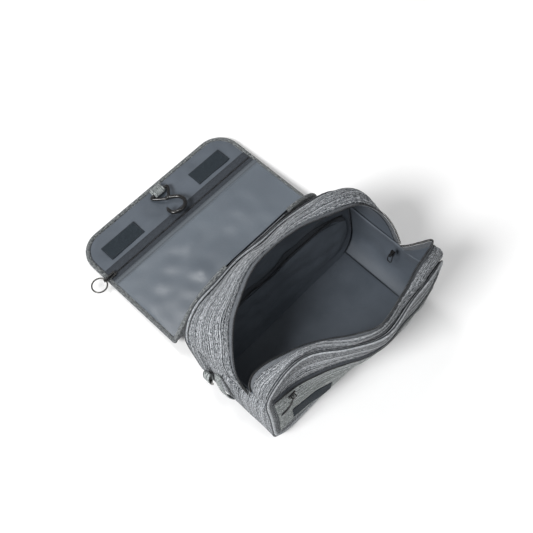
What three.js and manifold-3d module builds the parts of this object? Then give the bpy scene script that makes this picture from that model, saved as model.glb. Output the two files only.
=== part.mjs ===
// Hanging toiletry bag, stored with its zipped mouth open and its cover flap folded back on the floor.
// Millimetres. X runs along the width, -Y is the front, +Z is up, and the origin is the middle of the underside.
import * as THREE from "three";
import { mergeVertices } from "three/addons/utils/BufferGeometryUtils.js";
import Module from "manifold-3d";

const wasm = await Module();
wasm.setup();

// ---- Driving dimensions ----
const WIDTH = 240; // across the bag
const DEPTH = 96; // front to back at the base
const BASE_THICK = 3;
const CORNER_TOP = 42; // radius of the panels' upper corners
const CORNER_LOW = 28; // radius of the panels' lower corners
const FRONT_TALL = 132; // stored height of the front panel, which is slumped
const BACK_TALL = 116; // stored height of the back panel, which leans and sags
const SEAM_START = { front: 88, back: 70 }; // height on each panel where its band begins
const FABRIC = 0.8;
const FOAM = 2;
const LINING = 0.6;
const GAP = 0.35; // left between layers that lie on each other
const LOOSE = 0.9; // left between the layers of a curved panel
const RIM = { y: 89, z: 121 }; // top of the back panel, where the flap is sewn on
const FOLD = { y: 104, z: 13 }; // where the flap turns onto the floor
const FLAP_END = { y: 275, z: 0.6 }; // free edge of the flap, underside
const FLAP_CORNER = 30;
const FLAP_HALF = 118;
const ZIP_Y = 217; // pocket zip on the flap
const WINDOW_Y = [109, 204]; // clear window of the flap's pocket
const HALF = WIDTH / 2;
const SHELL_HALF = 117.6; // the two shells fit between the lower gussets

const group = new THREE.Group();
group.name = "hanging_toiletry_bag";

function add(name, geometry, color, metal = 0) {
  const material = new THREE.MeshStandardMaterial({ color, roughness: metal ? 0.3 : 0.85, metalness: metal });
  const mesh = new THREE.Mesh(geometry, material);
  mesh.name = name;
  group.add(mesh);
  return mesh;
}

const CLOTH = 0x6b6e73;
const LINER = 0x4a4e57;
const DARK = 0x2a2c30;
const STEEL = 0x77797c;
const BOARD = 0xb9b2a2;
const CLEAR = 0x9aa3ab;

// ---- Helpers ----
function toSolid(geometry) {
  const bare = geometry.clone();
  bare.deleteAttribute("normal");
  bare.deleteAttribute("uv");
  const merged = mergeVertices(bare, 1e-3);
  const mesh = new wasm.Mesh({
    numProp: 3,
    vertProperties: merged.attributes.position.array,
    triVerts: new Uint32Array(merged.index.array),
  });
  return new wasm.Manifold(mesh);
}

function toGeometry(solid) {
  const mesh = solid.getMesh();
  const geometry = new THREE.BufferGeometry();
  geometry.setAttribute("position", new THREE.BufferAttribute(new Float32Array(mesh.vertProperties), 3));
  geometry.setIndex(new THREE.BufferAttribute(new Uint32Array(mesh.triVerts), 1));
  geometry.computeVertexNormals();
  return geometry;
}

function union(...parts) {
  return toGeometry(parts.map(toSolid).reduce((a, b) => a.add(b)));
}

function subtract(first, ...rest) {
  return toGeometry(rest.map(toSolid).reduce((a, b) => a.subtract(b), toSolid(first)));
}

function box(x0, x1, y0, y1, z0, z1) {
  const geometry = new THREE.BoxGeometry(x1 - x0, y1 - y0, z1 - z0);
  return geometry.translate((x0 + x1) / 2, (y0 + y1) / 2, (z0 + z1) / 2);
}

function vec(p) {
  return new THREE.Vector3(...p);
}

// A tube along points, open or closed, with its rings joined by index.
function tube(points, radius, { closed = false, steps = 24, sides = 6 } = {}) {
  const path = new THREE.CatmullRomCurve3(points.map(vec), closed, "centripetal");
  const { normals, binormals } = path.computeFrenetFrames(steps, closed);
  const centres = path.getSpacedPoints(steps);
  const rings = closed ? steps : steps + 1;
  const positions = [];
  for (let i = 0; i < rings; i++) {
    for (let k = 0; k < sides; k++) {
      const a = (2 * Math.PI * k) / sides;
      const p = centres[i].clone().addScaledVector(normals[i], radius * Math.cos(a));
      positions.push(...p.addScaledVector(binormals[i], radius * Math.sin(a)).toArray());
    }
  }
  const index = [];
  const at = (i, k) => (i % rings) * sides + (k % sides);
  for (let i = 0; i < (closed ? rings : rings - 1); i++) {
    for (let k = 0; k < sides; k++) {
      index.push(at(i, k), at(i, k + 1), at(i + 1, k + 1), at(i, k), at(i + 1, k + 1), at(i + 1, k));
    }
  }
  for (let k = 1; !closed && k < sides - 1; k++) {
    index.push(at(0, 0), at(0, k + 1), at(0, k));
    index.push(at(rings - 1, 0), at(rings - 1, k), at(rings - 1, k + 1));
  }
  const geometry = new THREE.BufferGeometry();
  geometry.setAttribute("position", new THREE.Float32BufferAttribute(positions, 3));
  geometry.setIndex(index);
  geometry.computeVertexNormals();
  return geometry;
}

// Values between control points, evenly spaced over [0, 1], by a Catmull-Rom spline.
function spline(values, t) {
  const n = values.length - 1;
  const s = Math.min(Math.max(t, 0), 1) * n;
  const i = Math.min(Math.floor(s), n - 1);
  const f = s - i;
  const a = values[Math.max(i - 1, 0)];
  const b = values[i];
  const c = values[i + 1];
  const d = values[Math.min(i + 2, n)];
  return 0.5 * (2 * b + (c - a) * f + (2 * a - 5 * b + 4 * c - d) * f * f + (3 * b - a - 3 * c + d) * f ** 3);
}

function along(points, t) {
  return [0, 1, 2].map((k) => spline(points.map((p) => p[k]), t));
}

// A sheet of cloth: surface(u, v) gives the middle points, and the solid lies between two offsets along
// the normal. The normal points to the side that du x dv points to.
function sheet(surface, nu, nv, low, high) {
  const step = 1e-3;
  const sides = [low, high].map(() => []);
  for (let i = 0; i <= nu; i++) {
    for (let j = 0; j <= nv; j++) {
      const u = i / nu;
      const v = j / nv;
      const du = vec(surface(Math.min(u + step, 1), v)).sub(vec(surface(Math.max(u - step, 0), v)));
      const dv = vec(surface(u, Math.min(v + step, 1))).sub(vec(surface(u, Math.max(v - step, 0))));
      const normal = du.cross(dv).normalize();
      const middle = vec(surface(u, v));
      sides[0].push(middle.clone().addScaledVector(normal, low));
      sides[1].push(middle.clone().addScaledVector(normal, high));
    }
  }
  const count = (nu + 1) * (nv + 1);
  const positions = [...sides[0], ...sides[1]].flatMap((p) => [p.x, p.y, p.z]);
  const index = [];
  const at = (i, j, side) => side * count + i * (nv + 1) + j;
  const quad = (a, b, c, d) => index.push(a, b, c, a, c, d);
  for (let i = 0; i < nu; i++) {
    for (let j = 0; j < nv; j++) {
      quad(at(i, j, 1), at(i + 1, j, 1), at(i + 1, j + 1, 1), at(i, j + 1, 1));
      quad(at(i, j, 0), at(i, j + 1, 0), at(i + 1, j + 1, 0), at(i + 1, j, 0));
    }
    quad(at(i, 0, 0), at(i + 1, 0, 0), at(i + 1, 0, 1), at(i, 0, 1));
    quad(at(i, nv, 1), at(i + 1, nv, 1), at(i + 1, nv, 0), at(i, nv, 0));
  }
  for (let j = 0; j < nv; j++) {
    quad(at(0, j, 1), at(0, j + 1, 1), at(0, j + 1, 0), at(0, j, 0));
    quad(at(nu, j, 0), at(nu, j + 1, 0), at(nu, j + 1, 1), at(nu, j, 1));
  }
  const geometry = new THREE.BufferGeometry();
  geometry.setAttribute("position", new THREE.Float32BufferAttribute(positions, 3));
  geometry.setIndex(index);
  geometry.computeVertexNormals();
  return geometry;
}

// ---- The two shells' panels ----
// How much of the height is cut off at the upper and lower corners, at a distance x from the middle.
function cornerCut(x, radius, half) {
  const over = Math.abs(x) - (half - radius);
  return over > 0 ? radius - Math.sqrt(Math.max(radius * radius - over * over, 0)) : 0;
}

// Top edge of the panels from left to right: how far front or back, and how high.
const FRONT_TOP_Y = [-31, -32, -40, -58, -72, -74, -70, -64, -54];
const FRONT_TOP_Z = [148, 146, 143, 139, 135, 134, 133, 132, 131];
const FRONT_BELLY = [1, 2, 4, 6, 8, 9, 10, 11, 9];
const BACK_TOP_Y = [85, 86, 87, 88, 86, 86, 83, 77, 68];
const BACK_TOP_Z = [113, 117, 119, 120, 120, 120, 119, 118, 116];
const HINGE_Y = 49;
const HINGE_Z = 4;

function frontAt(x, q) {
  const t = (x + HALF) / WIDTH;
  const belly = spline(FRONT_BELLY, t) * Math.sin(Math.PI * q);
  const lean = spline(FRONT_TOP_Y, t) + HINGE_Y;
  return [x, -HINGE_Y + lean * q - belly, HINGE_Z + (spline(FRONT_TOP_Z, t) - HINGE_Z) * q];
}

function backAt(x, q) {
  const t = (x + HALF) / WIDTH;
  const lean = spline(BACK_TOP_Y, t) - HINGE_Y;
  return [x, HINGE_Y + lean * q ** 0.8 + 3 * Math.sin(Math.PI * q), HINGE_Z + (spline(BACK_TOP_Z, t) - HINGE_Z) * q];
}

const SHELLS = {
  front: { at: frontAt, tall: FRONT_TALL, inner: 1, half: SHELL_HALF },
  back: { at: backAt, tall: BACK_TALL, inner: -1, half: SHELL_HALF },
};

// A layer of a panel, inset from its outline, between two depths measured inwards.
function panelLayer(shell, inset, near, far, nu = 14, nv = 5, low = 0, high = 1) {
  const { at, tall, inner, half } = SHELLS[shell];
  const reach = half - inset;
  const surface = (u, v) => {
    const x = -reach + 2 * reach * u;
    const bottom = inset + cornerCut(x, CORNER_LOW, reach + 0.01);
    const top = tall - inset - cornerCut(x, CORNER_TOP, reach + 0.01);
    const h = bottom + (top - bottom) * (low + (high - low) * v);
    return at(x, h / tall);
  };
  const [a, b] = inner > 0 ? [-far, -near] : [near, far];
  return sheet(surface, nu, nv, a, b);
}

// Outline of a panel as [x, height] pairs, from the left side at a height over the top to the right side.
function outline(shell, inset, from) {
  const { tall, half } = SHELLS[shell];
  const reach = half - inset;
  const radius = CORNER_TOP - inset;
  const points = [];
  const rise = tall - inset - radius;
  for (let i = 0; i <= 3; i++) points.push([-reach, from + ((rise - from) * i) / 3]);
  for (let i = 1; i <= 6; i++) {
    const a = Math.PI - (Math.PI / 2) * (i / 6);
    points.push([-reach + radius + radius * Math.cos(a), rise + radius * Math.sin(a)]);
  }
  for (let i = 1; i < 8; i++) points.push([(-reach + radius) * (1 - i / 4), tall - inset]);
  const half_count = points.length;
  for (let i = half_count - 8; i >= 0; i--) points.push([-points[i][0], points[i][1]]);
  return points;
}

function place(shell, [x, h]) {
  const { at, tall } = SHELLS[shell];
  return at(x, h / tall);
}

for (const shell of ["front", "back"]) {
  add(`${shell}_panel`, panelLayer(shell, 2.2, 0, FABRIC), CLOTH);
  add(`${shell}_foam`, panelLayer(shell, 7, FABRIC + LOOSE, FABRIC + LOOSE + FOAM), BOARD);
  const liningAt = FABRIC + FOAM + 2 * LOOSE;
  add(`${shell}_lining`, panelLayer(shell, 7, liningAt, liningAt + LINING), LINER);
}

// ---- Gusset bands, from each panel's edge to the mouth ----
// The mouth's edges, from the left end of the zip over the top to its right end.
const MOUTH = {
  front: [
    [-113, -9, 78], [-112.5, -8, 98], [-106, -8, 113], [-94, -12, 126], [-76, -21, 141], [-60, -29, 148],
    [-40, -40, 150], [-20, -54, 150], [1, -66, 150], [22, -66, 149], [46, -61, 148], [70, -54, 145],
    [92, -50, 140], [107, -45, 131], [112.5, -33, 112], [113, -18, 92], [113, -9, 78],
  ],
  back: [
    [-116.6, -7, 78], [-116.6, 3, 96], [-113, 13, 114], [-99, 28, 130], [-80, 43, 136], [-55, 55, 139],
    [-30, 63, 140], [-2, 66, 140], [22, 63, 140], [50, 55, 138], [74, 46, 137], [96, 34, 132],
    [109, 21, 120], [116, 8, 102], [116.6, -7, 78],
  ],
};
const BAND_LIMIT = { front: 114.6, back: 117.8 };

// The seam with the panel runs just behind the piping.
const SEAM_DEPTH = 2.7;
const RAILS = {};
for (const shell of ["front", "back"]) {
  const inwards = SHELLS[shell].inner;
  RAILS[shell] = outline(shell, 0.2, SEAM_START[shell]).map((p) => {
    const [x, y, z] = place(shell, p);
    return [x, y + SEAM_DEPTH * inwards, z];
  });
}

function bandPoint(shell, u, v) {
  const from = along(RAILS[shell], u);
  const to = along(MOUTH[shell], u);
  const limit = BAND_LIMIT[shell];
  const x = from[0] * (1 - v) + to[0] * v;
  const crown = 0.08 * vec(from).distanceTo(vec(to)) * Math.sin(Math.PI * v) * Math.sin(Math.PI * u);
  const y = from[1] * (1 - v) + to[1] * v;
  const z = from[2] * (1 - v) + to[2] * v + crown;
  return [Math.min(Math.max(x, -limit), limit), y, z];
}

function bandLayer(shell, v0, v1, near, far, nu = 30, nv = 3) {
  const surface = (u, v) => bandPoint(shell, u, v0 + (v1 - v0) * v);
  const [a, b] = SHELLS[shell].inner > 0 ? [-far, -near] : [near, far];
  return sheet(surface, nu, nv, a, b);
}

for (const shell of ["front", "back"]) {
  add(`${shell}_gusset`, bandLayer(shell, 0, 1, 0, FABRIC), CLOTH);
  const under = FABRIC + 1.5;
  add(`${shell}_gusset_lining`, bandLayer(shell, 0.22, 0.62, under, under + LINING, 30, 1), LINER);
  add(`${shell}_zip_tape`, bandLayer(shell, 0.8, 1, FABRIC + 0.6, FABRIC + 0.6 + LINING, 30, 1), DARK);
  const teeth = [];
  for (let i = 0; i <= 24; i++) {
    const u = 0.004 + (0.992 * i) / 24;
    const edge = vec(bandPoint(shell, u, 1));
    const run = vec(bandPoint(shell, u + 0.003, 1)).sub(vec(bandPoint(shell, u - 0.003, 1))).normalize();
    const out = edge.clone().sub(vec(bandPoint(shell, u, 0.9)));
    out.addScaledVector(run, -out.dot(run)).normalize();
    teeth.push(edge.addScaledVector(out, 1.9).toArray());
  }
  add(`${shell}_zip_teeth`, tube(teeth, 1.1, { steps: 36, sides: 4 }), DARK);
}

// ---- Piping round each panel ----
for (const shell of ["front", "back"]) {
  const { tall, half } = SHELLS[shell];
  const inset = 0.1;
  const points = [];
  const corners = [
    [half - CORNER_TOP, tall - CORNER_TOP, CORNER_TOP - inset, 0],
    [-half + CORNER_TOP, tall - CORNER_TOP, CORNER_TOP - inset, 90],
    [-half + CORNER_LOW, CORNER_LOW, CORNER_LOW - 1, 180],
    [half - CORNER_LOW, CORNER_LOW, CORNER_LOW - 1, 270],
  ];
  corners.forEach(([cx, cy, r, start], k) => {
    for (let i = 0; i <= 4; i++) {
      const a = ((start + i * 22.5) * Math.PI) / 180;
      points.push(place(shell, [cx + r * Math.cos(a), cy + r * Math.sin(a)]));
    }
    const bridge = k % 2 === 0 ? 5 : 3;
    const next = corners[(k + 1) % 4];
    const b = ((start + 90) * Math.PI) / 180;
    const p = [cx + r * Math.cos(b), cy + r * Math.sin(b)];
    const q = [next[0] + next[2] * Math.cos(b), next[1] + next[2] * Math.sin(b)];
    for (let i = 1; i <= bridge; i++) {
      const t = i / (bridge + 1);
      points.push(place(shell, [p[0] + (q[0] - p[0]) * t, p[1] + (q[1] - p[1]) * t]));
    }
  });
  add(`${shell}_piping`, tube(points, 1.1, { closed: true, steps: 56, sides: 5 }), CLOTH);
}

// ---- Base and lower gussets ----
const FLAT_HALF = HALF - CORNER_LOW;
add("base_panel", box(-FLAT_HALF, FLAT_HALF, -DEPTH / 2, DEPTH / 2, 0, BASE_THICK), CLOTH);
add("base_board", box(-FLAT_HALF + 4, FLAT_HALF - 4, -41, 41, BASE_THICK + GAP, BASE_THICK + GAP + 1.5), BOARD);
const liningLow = BASE_THICK + 2 * GAP + 1.5;
add("base_lining", box(-FLAT_HALF + 2, FLAT_HALF - 2, -42, 42, liningLow, liningLow + LINING), LINER);

// Side wall below the zip: a quarter turn up from the base, then a wall whose ends follow both panels.
const LOWER_TOP = 76;
const FRONT_RISE = 20; // the wall's top climbs by this much towards the front panel
const WALL_X = HALF - 0.25;
function panelDepthAt(shell, x, z) {
  const [, , low] = place(shell, [x, 0]);
  const [, , high] = place(shell, [x, SHELLS[shell].tall]);
  const q = Math.max((z - low) / (high - low), 0);
  return SHELLS[shell].at(x, q)[1];
}
function lowerGusset(side) {
  const turnShare = 0.4;
  const radius = CORNER_LOW;
  const surface = (u, v) => {
    const a = (Math.min(v / turnShare, 1) * Math.PI) / 2;
    const top = LOWER_TOP + FRONT_RISE * Math.max(1 - 4 * u, 0);
    const rise = Math.max((v - turnShare) / (1 - turnShare), 0) * (top - radius);
    const x = side * (FLAT_HALF + GAP + (WALL_X - FLAT_HALF - GAP) * Math.sin(a));
    const z = 0.6 + (radius - 0.6) * (1 - Math.cos(a)) + rise;
    const front = panelDepthAt("front", side * 117, z) + 0.5;
    const back = panelDepthAt("back", side * 117, z) - 0.5;
    return [x, front + (back - front) * u, z];
  };
  return sheet(surface, 4, 9, -0.6, 0.6);
}
for (const [name, side] of [["left", -1], ["right", 1]]) {
  add(`${name}_lower_gusset`, lowerGusset(side), CLOTH);
}

// ---- Carry handle and D-ring tab on the left side ----
const handleX = -HALF - GAP - 0.6;
const handlePoints = [[0, 33, 66], [-4.4, 29, 56], [-6, 22, 43], [-4.4, 16, 31], [0, 13, 20]];
const strap = sheet(
  (u, v) => {
    const [dx, y, z] = along(handlePoints, u);
    return [handleX - 1 + dx, y - 8.3 * v, z + 3.6 * v];
  },
  10, 1, 0, 1.4,
);
add("side_handle", strap, CLOTH);
const tabHoop = (r) => {
  const shape = new THREE.Shape();
  shape.absellipse(0, 0, r, r + 9.6, 0, 2 * Math.PI, false, 0);
  const solid = new THREE.ExtrudeGeometry(shape, { depth: 9, bevelEnabled: false, curveSegments: 5 });
  return solid.rotateX(Math.PI / 2);
};
const TAB = { x: -HALF - GAP - 4.4, y: 47, z: 42 };
const tabLoop = subtract(tabHoop(3.4), tabHoop(2.5).scale(1, 1.4, 1).translate(0, 1.8, 0));
const RING_Z = TAB.z - 10;
add("handle_tab", tabLoop.translate(TAB.x, TAB.y, TAB.z), CLOTH);
// The D-ring hangs from the tab: a straight bar through it and a half circle below.
const D_RADIUS = 6.5;
const dRing = [0, 1, 2, 3, 4, 5, 6].map((i) => {
  const a = (Math.PI * i) / 6;
  return [TAB.x, TAB.y - 4.5 + D_RADIUS * Math.cos(a), RING_Z - 1.3 * D_RADIUS * Math.sin(a)];
});
for (const t of [-0.6, 0, 0.6]) dRing.push([TAB.x, TAB.y - 4.5 + t * D_RADIUS, RING_Z]);
add("d_ring", tube(dRing, 0.8, { closed: true, steps: 22, sides: 5 }), STEEL, 1);

// ---- Inside pocket on the back panel ----
const pocketAt = FABRIC + FOAM + LINING + 3 * LOOSE;
add("inner_pocket", panelLayer("back", 10, pocketAt, pocketAt + LINING, 10, 3, 0.02, 0.5), LINER);
add("inner_pocket_zip_tape", panelLayer("back", 10, pocketAt, pocketAt + LINING, 10, 1, 0.53, 0.63), DARK);
const pocketTeethAt = pocketAt + LINING + GAP + 0.7;
const pocketTeeth = [];
for (let i = 0; i <= 10; i++) {
  const [x, y, z] = backAt(-100 + 20 * i, 0.57);
  pocketTeeth.push([x, y - pocketTeethAt - 0.4, z]);
}
add("inner_pocket_zip_teeth", tube(pocketTeeth, 0.7, { steps: 12, sides: 4 }), DARK);

const innerAt = backAt(-94, 0.57);
const innerSlider = slider(8, 5, 1.8).rotateX(Math.PI / 2);
add("inner_pocket_slider", innerSlider.translate(-94, innerAt[1] - pocketTeethAt - 2.2, innerAt[2]), DARK, 1);

// ---- Front pocket: flat pocket sheet, zip, slider, puller and the two lower touch-fastener patches ----
function frontStrip(x0, x1, q0, q1, depth, thick, nu, nv) {
  const surface = (u, v) => {
    const x = x0 + (x1 - x0) * u;
    return frontAt(x, q0 + (q1 - q0) * v);
  };
  return sheet(surface, nu, nv, depth, depth + thick);
}
const POCKET_REACH = 109;
add("front_pocket_panel", frontStrip(-POCKET_REACH, POCKET_REACH, 0.09, 0.6, LOOSE, 0.7, 14, 3), CLOTH);
add("front_pocket_zip_tape", frontStrip(-POCKET_REACH, POCKET_REACH, 0.63, 0.74, LOOSE, 0.6, 14, 1), DARK);
const frontTeeth = [];
for (let i = 0; i <= 12; i++) {
  const [x, y, z] = frontAt(-106 + (212 / 12) * i, 0.685);
  frontTeeth.push([x, y - 2.9, z]);
}
add("front_pocket_zip_teeth", tube(frontTeeth, 0.8, { steps: 14, sides: 4 }), DARK);
for (const [name, x0, x1] of [["left", -92, -42], ["right", 42, 92]]) {
  add(`front_velcro_${name}`, frontStrip(x0, x1, 0.2, 0.36, 2.4, 1.2, 5, 1), DARK);
}

// A zip slider: a short body, pinched in the middle, with a bridge on top for the puller.
function slider(length, width, tall) {
  const body = box(-length / 2, length / 2, -width / 2, width / 2, 0, tall);
  const bridge = box(-length / 3, length / 3, -0.9, 0.9, tall - 0.1, tall + 3.6);
  const eye = box(-length / 3 + 1, length / 3 - 1, -2, 2, tall + 0.4, tall + 2.8);
  return subtract(union(body, bridge), eye);
}

const [sliderX, sliderY, sliderZ] = frontAt(-92, 0.685);
const SLIDER_OUT = 4.6;
const EYE_OUT = SLIDER_OUT + 1.8 + 1.6;
const frontSlider = slider(9, 5.5, 1.8).rotateX(Math.PI / 2);
add("front_pocket_slider", frontSlider.translate(sliderX, sliderY - SLIDER_OUT, sliderZ), DARK, 1);
const pullerPoints = [[0, 0.2, 3], [0, 0, 0], [0, 0, -3], [-2, -0.6, -8], [-7, -1.6, -12], [-14, -2, -13.5], [-19, -2, -13]];
const pullerAt = pullerPoints.map(([x, y, z]) => [sliderX + x, sliderY - EYE_OUT + y, sliderZ + z]);
add("front_pocket_puller", tube(pullerAt, 0.9, { steps: 12, sides: 6 }), DARK);

// ---- Flap: top section behind the back panel, then the cover section on the floor ----
const FLAP_LEN = FLAP_END.y - FOLD.y;
const TOP_TURN = Math.atan2(FOLD.y - RIM.y, RIM.z - FOLD.z);
const COVER_TURN = Math.atan2(FOLD.z - 2.4 - FLAP_END.z, FLAP_LEN);
const topLength = Math.hypot(FOLD.y - RIM.y, RIM.z - FOLD.z) - 9;

// Boxes drawn with their length along +Y and their lining side up, then turned into place.
function onTop(geometry) {
  return geometry.rotateX(-Math.PI / 2 + TOP_TURN).translate(0, RIM.y, RIM.z - 1.5);
}
function onCover(geometry) {
  return geometry.rotateX(-COVER_TURN).translate(0, FOLD.y, FOLD.z - 2.4);
}
const FLAP_LAYERS = [["outer", 0, FABRIC, CLOTH], ["foam", 1.15, 2.35, BOARD], ["lining", 2.7, 3.3, LINER]];
// The top section's upper corners are rounded like the back panel's.
function topPlate(inset, z0, z1) {
  const half = FLAP_HALF - inset;
  const r = CORNER_TOP - inset;
  const start = 2 + inset;
  const shape = new THREE.Shape();
  shape.moveTo(-half, topLength - inset).lineTo(-half, start + r);
  shape.absarc(-half + r, start + r, r, Math.PI, 1.5 * Math.PI, false);
  shape.lineTo(half - r, start);
  shape.absarc(half - r, start + r, r, 1.5 * Math.PI, 2 * Math.PI, false);
  shape.lineTo(half, topLength - inset);
  const plate = new THREE.ExtrudeGeometry(shape, { depth: z1 - z0, bevelEnabled: false, curveSegments: 6 });
  return plate.translate(0, 0, z0);
}
for (const [name, z0, z1, color] of FLAP_LAYERS) {
  add(`flap_top_${name}`, onTop(topPlate(name === "foam" ? 4 : 0, z0, z1)), color);
}

// Outline of the cover section: square at the fold and rounded at the free edge, inset all round.
function coverShape(inset, start) {
  const half = FLAP_HALF - inset;
  const end = FLAP_LEN - inset;
  const r = FLAP_CORNER - inset;
  const shape = new THREE.Shape();
  shape.moveTo(-half, start).lineTo(half, start).lineTo(half, end - r);
  shape.absarc(half - r, end - r, r, 0, Math.PI / 2, false);
  shape.lineTo(-half + r, end);
  shape.absarc(-half + r, end - r, r, Math.PI / 2, Math.PI, false);
  shape.lineTo(-half, start);
  return shape;
}
function coverPlate(inset, start, z0, z1) {
  const plate = new THREE.ExtrudeGeometry(coverShape(inset, start), {
    depth: z1 - z0,
    bevelEnabled: false,
    curveSegments: 5,
  });
  return plate.translate(0, 0, z0);
}
for (const [name, z0, z1, color] of FLAP_LAYERS) {
  add(`flap_${name}`, onCover(coverPlate(name === "foam" ? 5 : 3.4, 2, z0, z1)), color);
}
const binding = subtract(coverPlate(0, 2, -0.5, 3.9), coverPlate(3.1, -5, -1, 5));
add("flap_binding", onCover(binding), CLOTH);

const face = 3.3 + GAP; // height of the lining's face with a gap
const coverY = (y) => y - FOLD.y;
for (const [name, x0, x1] of [["left", -97, -46], ["right", 44, 95]]) {
  add(`flap_velcro_${name}`, onCover(box(x0, x1, coverY(233), coverY(254), face, face + 1.3)), DARK);
}
const zipLine = coverY(ZIP_Y);
add("flap_zip_tape_outer", onCover(box(-113, 113, zipLine + 1.6, zipLine + 11, face, face + 0.7)), LINER);
add("flap_zip_teeth", onCover(box(-113, 113, zipLine - 1.2, zipLine + 1.2, face, face + 1)), DARK);
add("flap_zip_tape_inner", onCover(box(-113, 113, zipLine - 7, zipLine - 1.6, face, face + 0.7)), LINER);
const windowFar = coverY(WINDOW_Y[1]);
const windowNear = coverY(WINDOW_Y[0]);
add("window_strip", onCover(box(-114, 114, windowFar, windowFar + 5.6, face, face + 0.9)), CLOTH);
add("pvc_window", onCover(box(-114, 114, windowNear, windowFar + 4, face + 1.25, face + 1.65)), CLEAR);

// ---- Flap pocket slider with its pull ring ----
// The slider carries an upright lug past the flap's edge, and the ring hangs from the lug's hole.
const SLIDER_X = -110;
const LUG_X = -120.6;
const LUG_Z = face + 3.6;
const sliderBody = box(SLIDER_X - 4, SLIDER_X + 4, zipLine - 3, zipLine + 3, face + 1 + GAP, face + 3.1);
const lugPlate = box(LUG_X - 2.2, SLIDER_X + 2, zipLine - 0.7, zipLine + 0.7, face + 1.5, LUG_Z + 2.2);
const lugHole = new THREE.CylinderGeometry(1.1, 1.1, 6, 10).translate(LUG_X, zipLine, LUG_Z);
add("flap_zip_slider", onCover(subtract(union(sliderBody, lugPlate), lugHole)), DARK, 1);
const RING_R = 9;
const ringPath = [];
for (let i = 0; i < 16; i++) {
  const a = (Math.PI * 2 * i) / 16;
  ringPath.push([LUG_X - RING_R * (1 - Math.cos(a)), zipLine + RING_R * Math.sin(a), LUG_Z]);
}
add("pull_ring", onCover(tube(ringPath, 0.5, { closed: true, steps: 28, sides: 5 })), STEEL, 1);

// ---- Webbing loop and hanging hook at the middle of the free edge ----
const HOOK = { x: 2, y: 263, z: face + 3.4, lift: 9 }; // the hook's end clears the pocket zip
const hoopShape = (ry, rz) => {
  const shape = new THREE.Shape();
  shape.absellipse(0, 0, ry, rz, 0, 2 * Math.PI, false, 0);
  return shape;
};
function hoop(ry, rz, wide) {
  const solid = new THREE.ExtrudeGeometry(hoopShape(ry, rz), { depth: wide, bevelEnabled: false, curveSegments: 5 });
  return solid.rotateZ(Math.PI / 2).rotateY(Math.PI / 2).translate(-wide / 2, 0, 0);
}
const webbing = subtract(hoop(7, 3.3, 15), hoop(5.4, 2.1, 20));
add("hook_loop", onCover(webbing.translate(HOOK.x, coverY(HOOK.y), HOOK.z)), CLOTH);
const bar = [[-12, 0, 0], [-4, 0, 0], [4, 0, 0], [12, 0, 0], [11, -4, 0], [6, -11, 0], [1, -16, 0], [-5, -11, 0], [-11, -4, 0]];
const curl = [[1, -14, 0], [6, -19, 0], [11, -25, 0], [12, -33, 0], [7, -40, 0], [-1, -42, 0], [-9, -38, 0], [-11, -31, 0], [-9, -25, 0]];
const hookWire = union(
  tube(bar, 1.4, { closed: true, steps: 26, sides: 6 }),
  tube(curl, 1.7, { steps: 18, sides: 6 }),
);
hookWire.rotateX((-HOOK.lift * Math.PI) / 180);
add("hanging_hook", onCover(hookWire.translate(HOOK.x, coverY(HOOK.y - 3), HOOK.z)), DARK, 0);

// ---- Mouth zip: one slider at each end of the opening, with a wire puller through its eye ----
for (const [name, side] of [["left", -1], ["right", 1]]) {
  const x = side * 110;
  const z = 63;
  const body = slider(8, 5, 2.4).rotateY((side * -Math.PI) / 2).translate(x, -8, z);
  add(`main_slider_${name}`, body, DARK, 1);
  const eyeX = x - side * 4;
  const loop = [[0, 0.3], [1.6, -0.2], [2.3, -3], [2.6, -14], [0, -17], [-2.6, -14], [-2.3, -3], [-1.6, -0.2]];
  const points = loop.map(([y, down]) => [eyeX, -8 + y, z + down]);
  add(`main_puller_${name}`, tube(points, 0.6, { closed: true, steps: 22, sides: 5 }), DARK);
}

export default group;
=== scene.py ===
"""Looks of the hanging toiletry bag: cloth walls, gusset bands, zips, flap and metal parts on the CAD frame.

Lengths are in millimetres in the row frame until a mesh is made, which is when they become metres.
"""

import math

import bpy
import numpy as np
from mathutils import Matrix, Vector


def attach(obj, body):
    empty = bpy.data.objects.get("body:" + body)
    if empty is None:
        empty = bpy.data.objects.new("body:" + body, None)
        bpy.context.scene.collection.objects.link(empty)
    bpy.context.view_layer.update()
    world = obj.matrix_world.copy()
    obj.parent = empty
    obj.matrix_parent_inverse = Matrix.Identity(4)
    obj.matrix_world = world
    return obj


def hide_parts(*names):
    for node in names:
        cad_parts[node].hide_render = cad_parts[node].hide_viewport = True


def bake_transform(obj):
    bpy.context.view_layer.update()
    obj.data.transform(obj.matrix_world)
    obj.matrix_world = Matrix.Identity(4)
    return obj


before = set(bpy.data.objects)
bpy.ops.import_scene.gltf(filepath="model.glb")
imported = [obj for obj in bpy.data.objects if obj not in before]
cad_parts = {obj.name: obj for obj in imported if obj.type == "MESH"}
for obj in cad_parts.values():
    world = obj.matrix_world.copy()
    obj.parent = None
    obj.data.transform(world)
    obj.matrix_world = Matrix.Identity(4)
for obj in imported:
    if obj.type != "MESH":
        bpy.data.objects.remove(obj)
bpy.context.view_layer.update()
MM = 0.001

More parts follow.
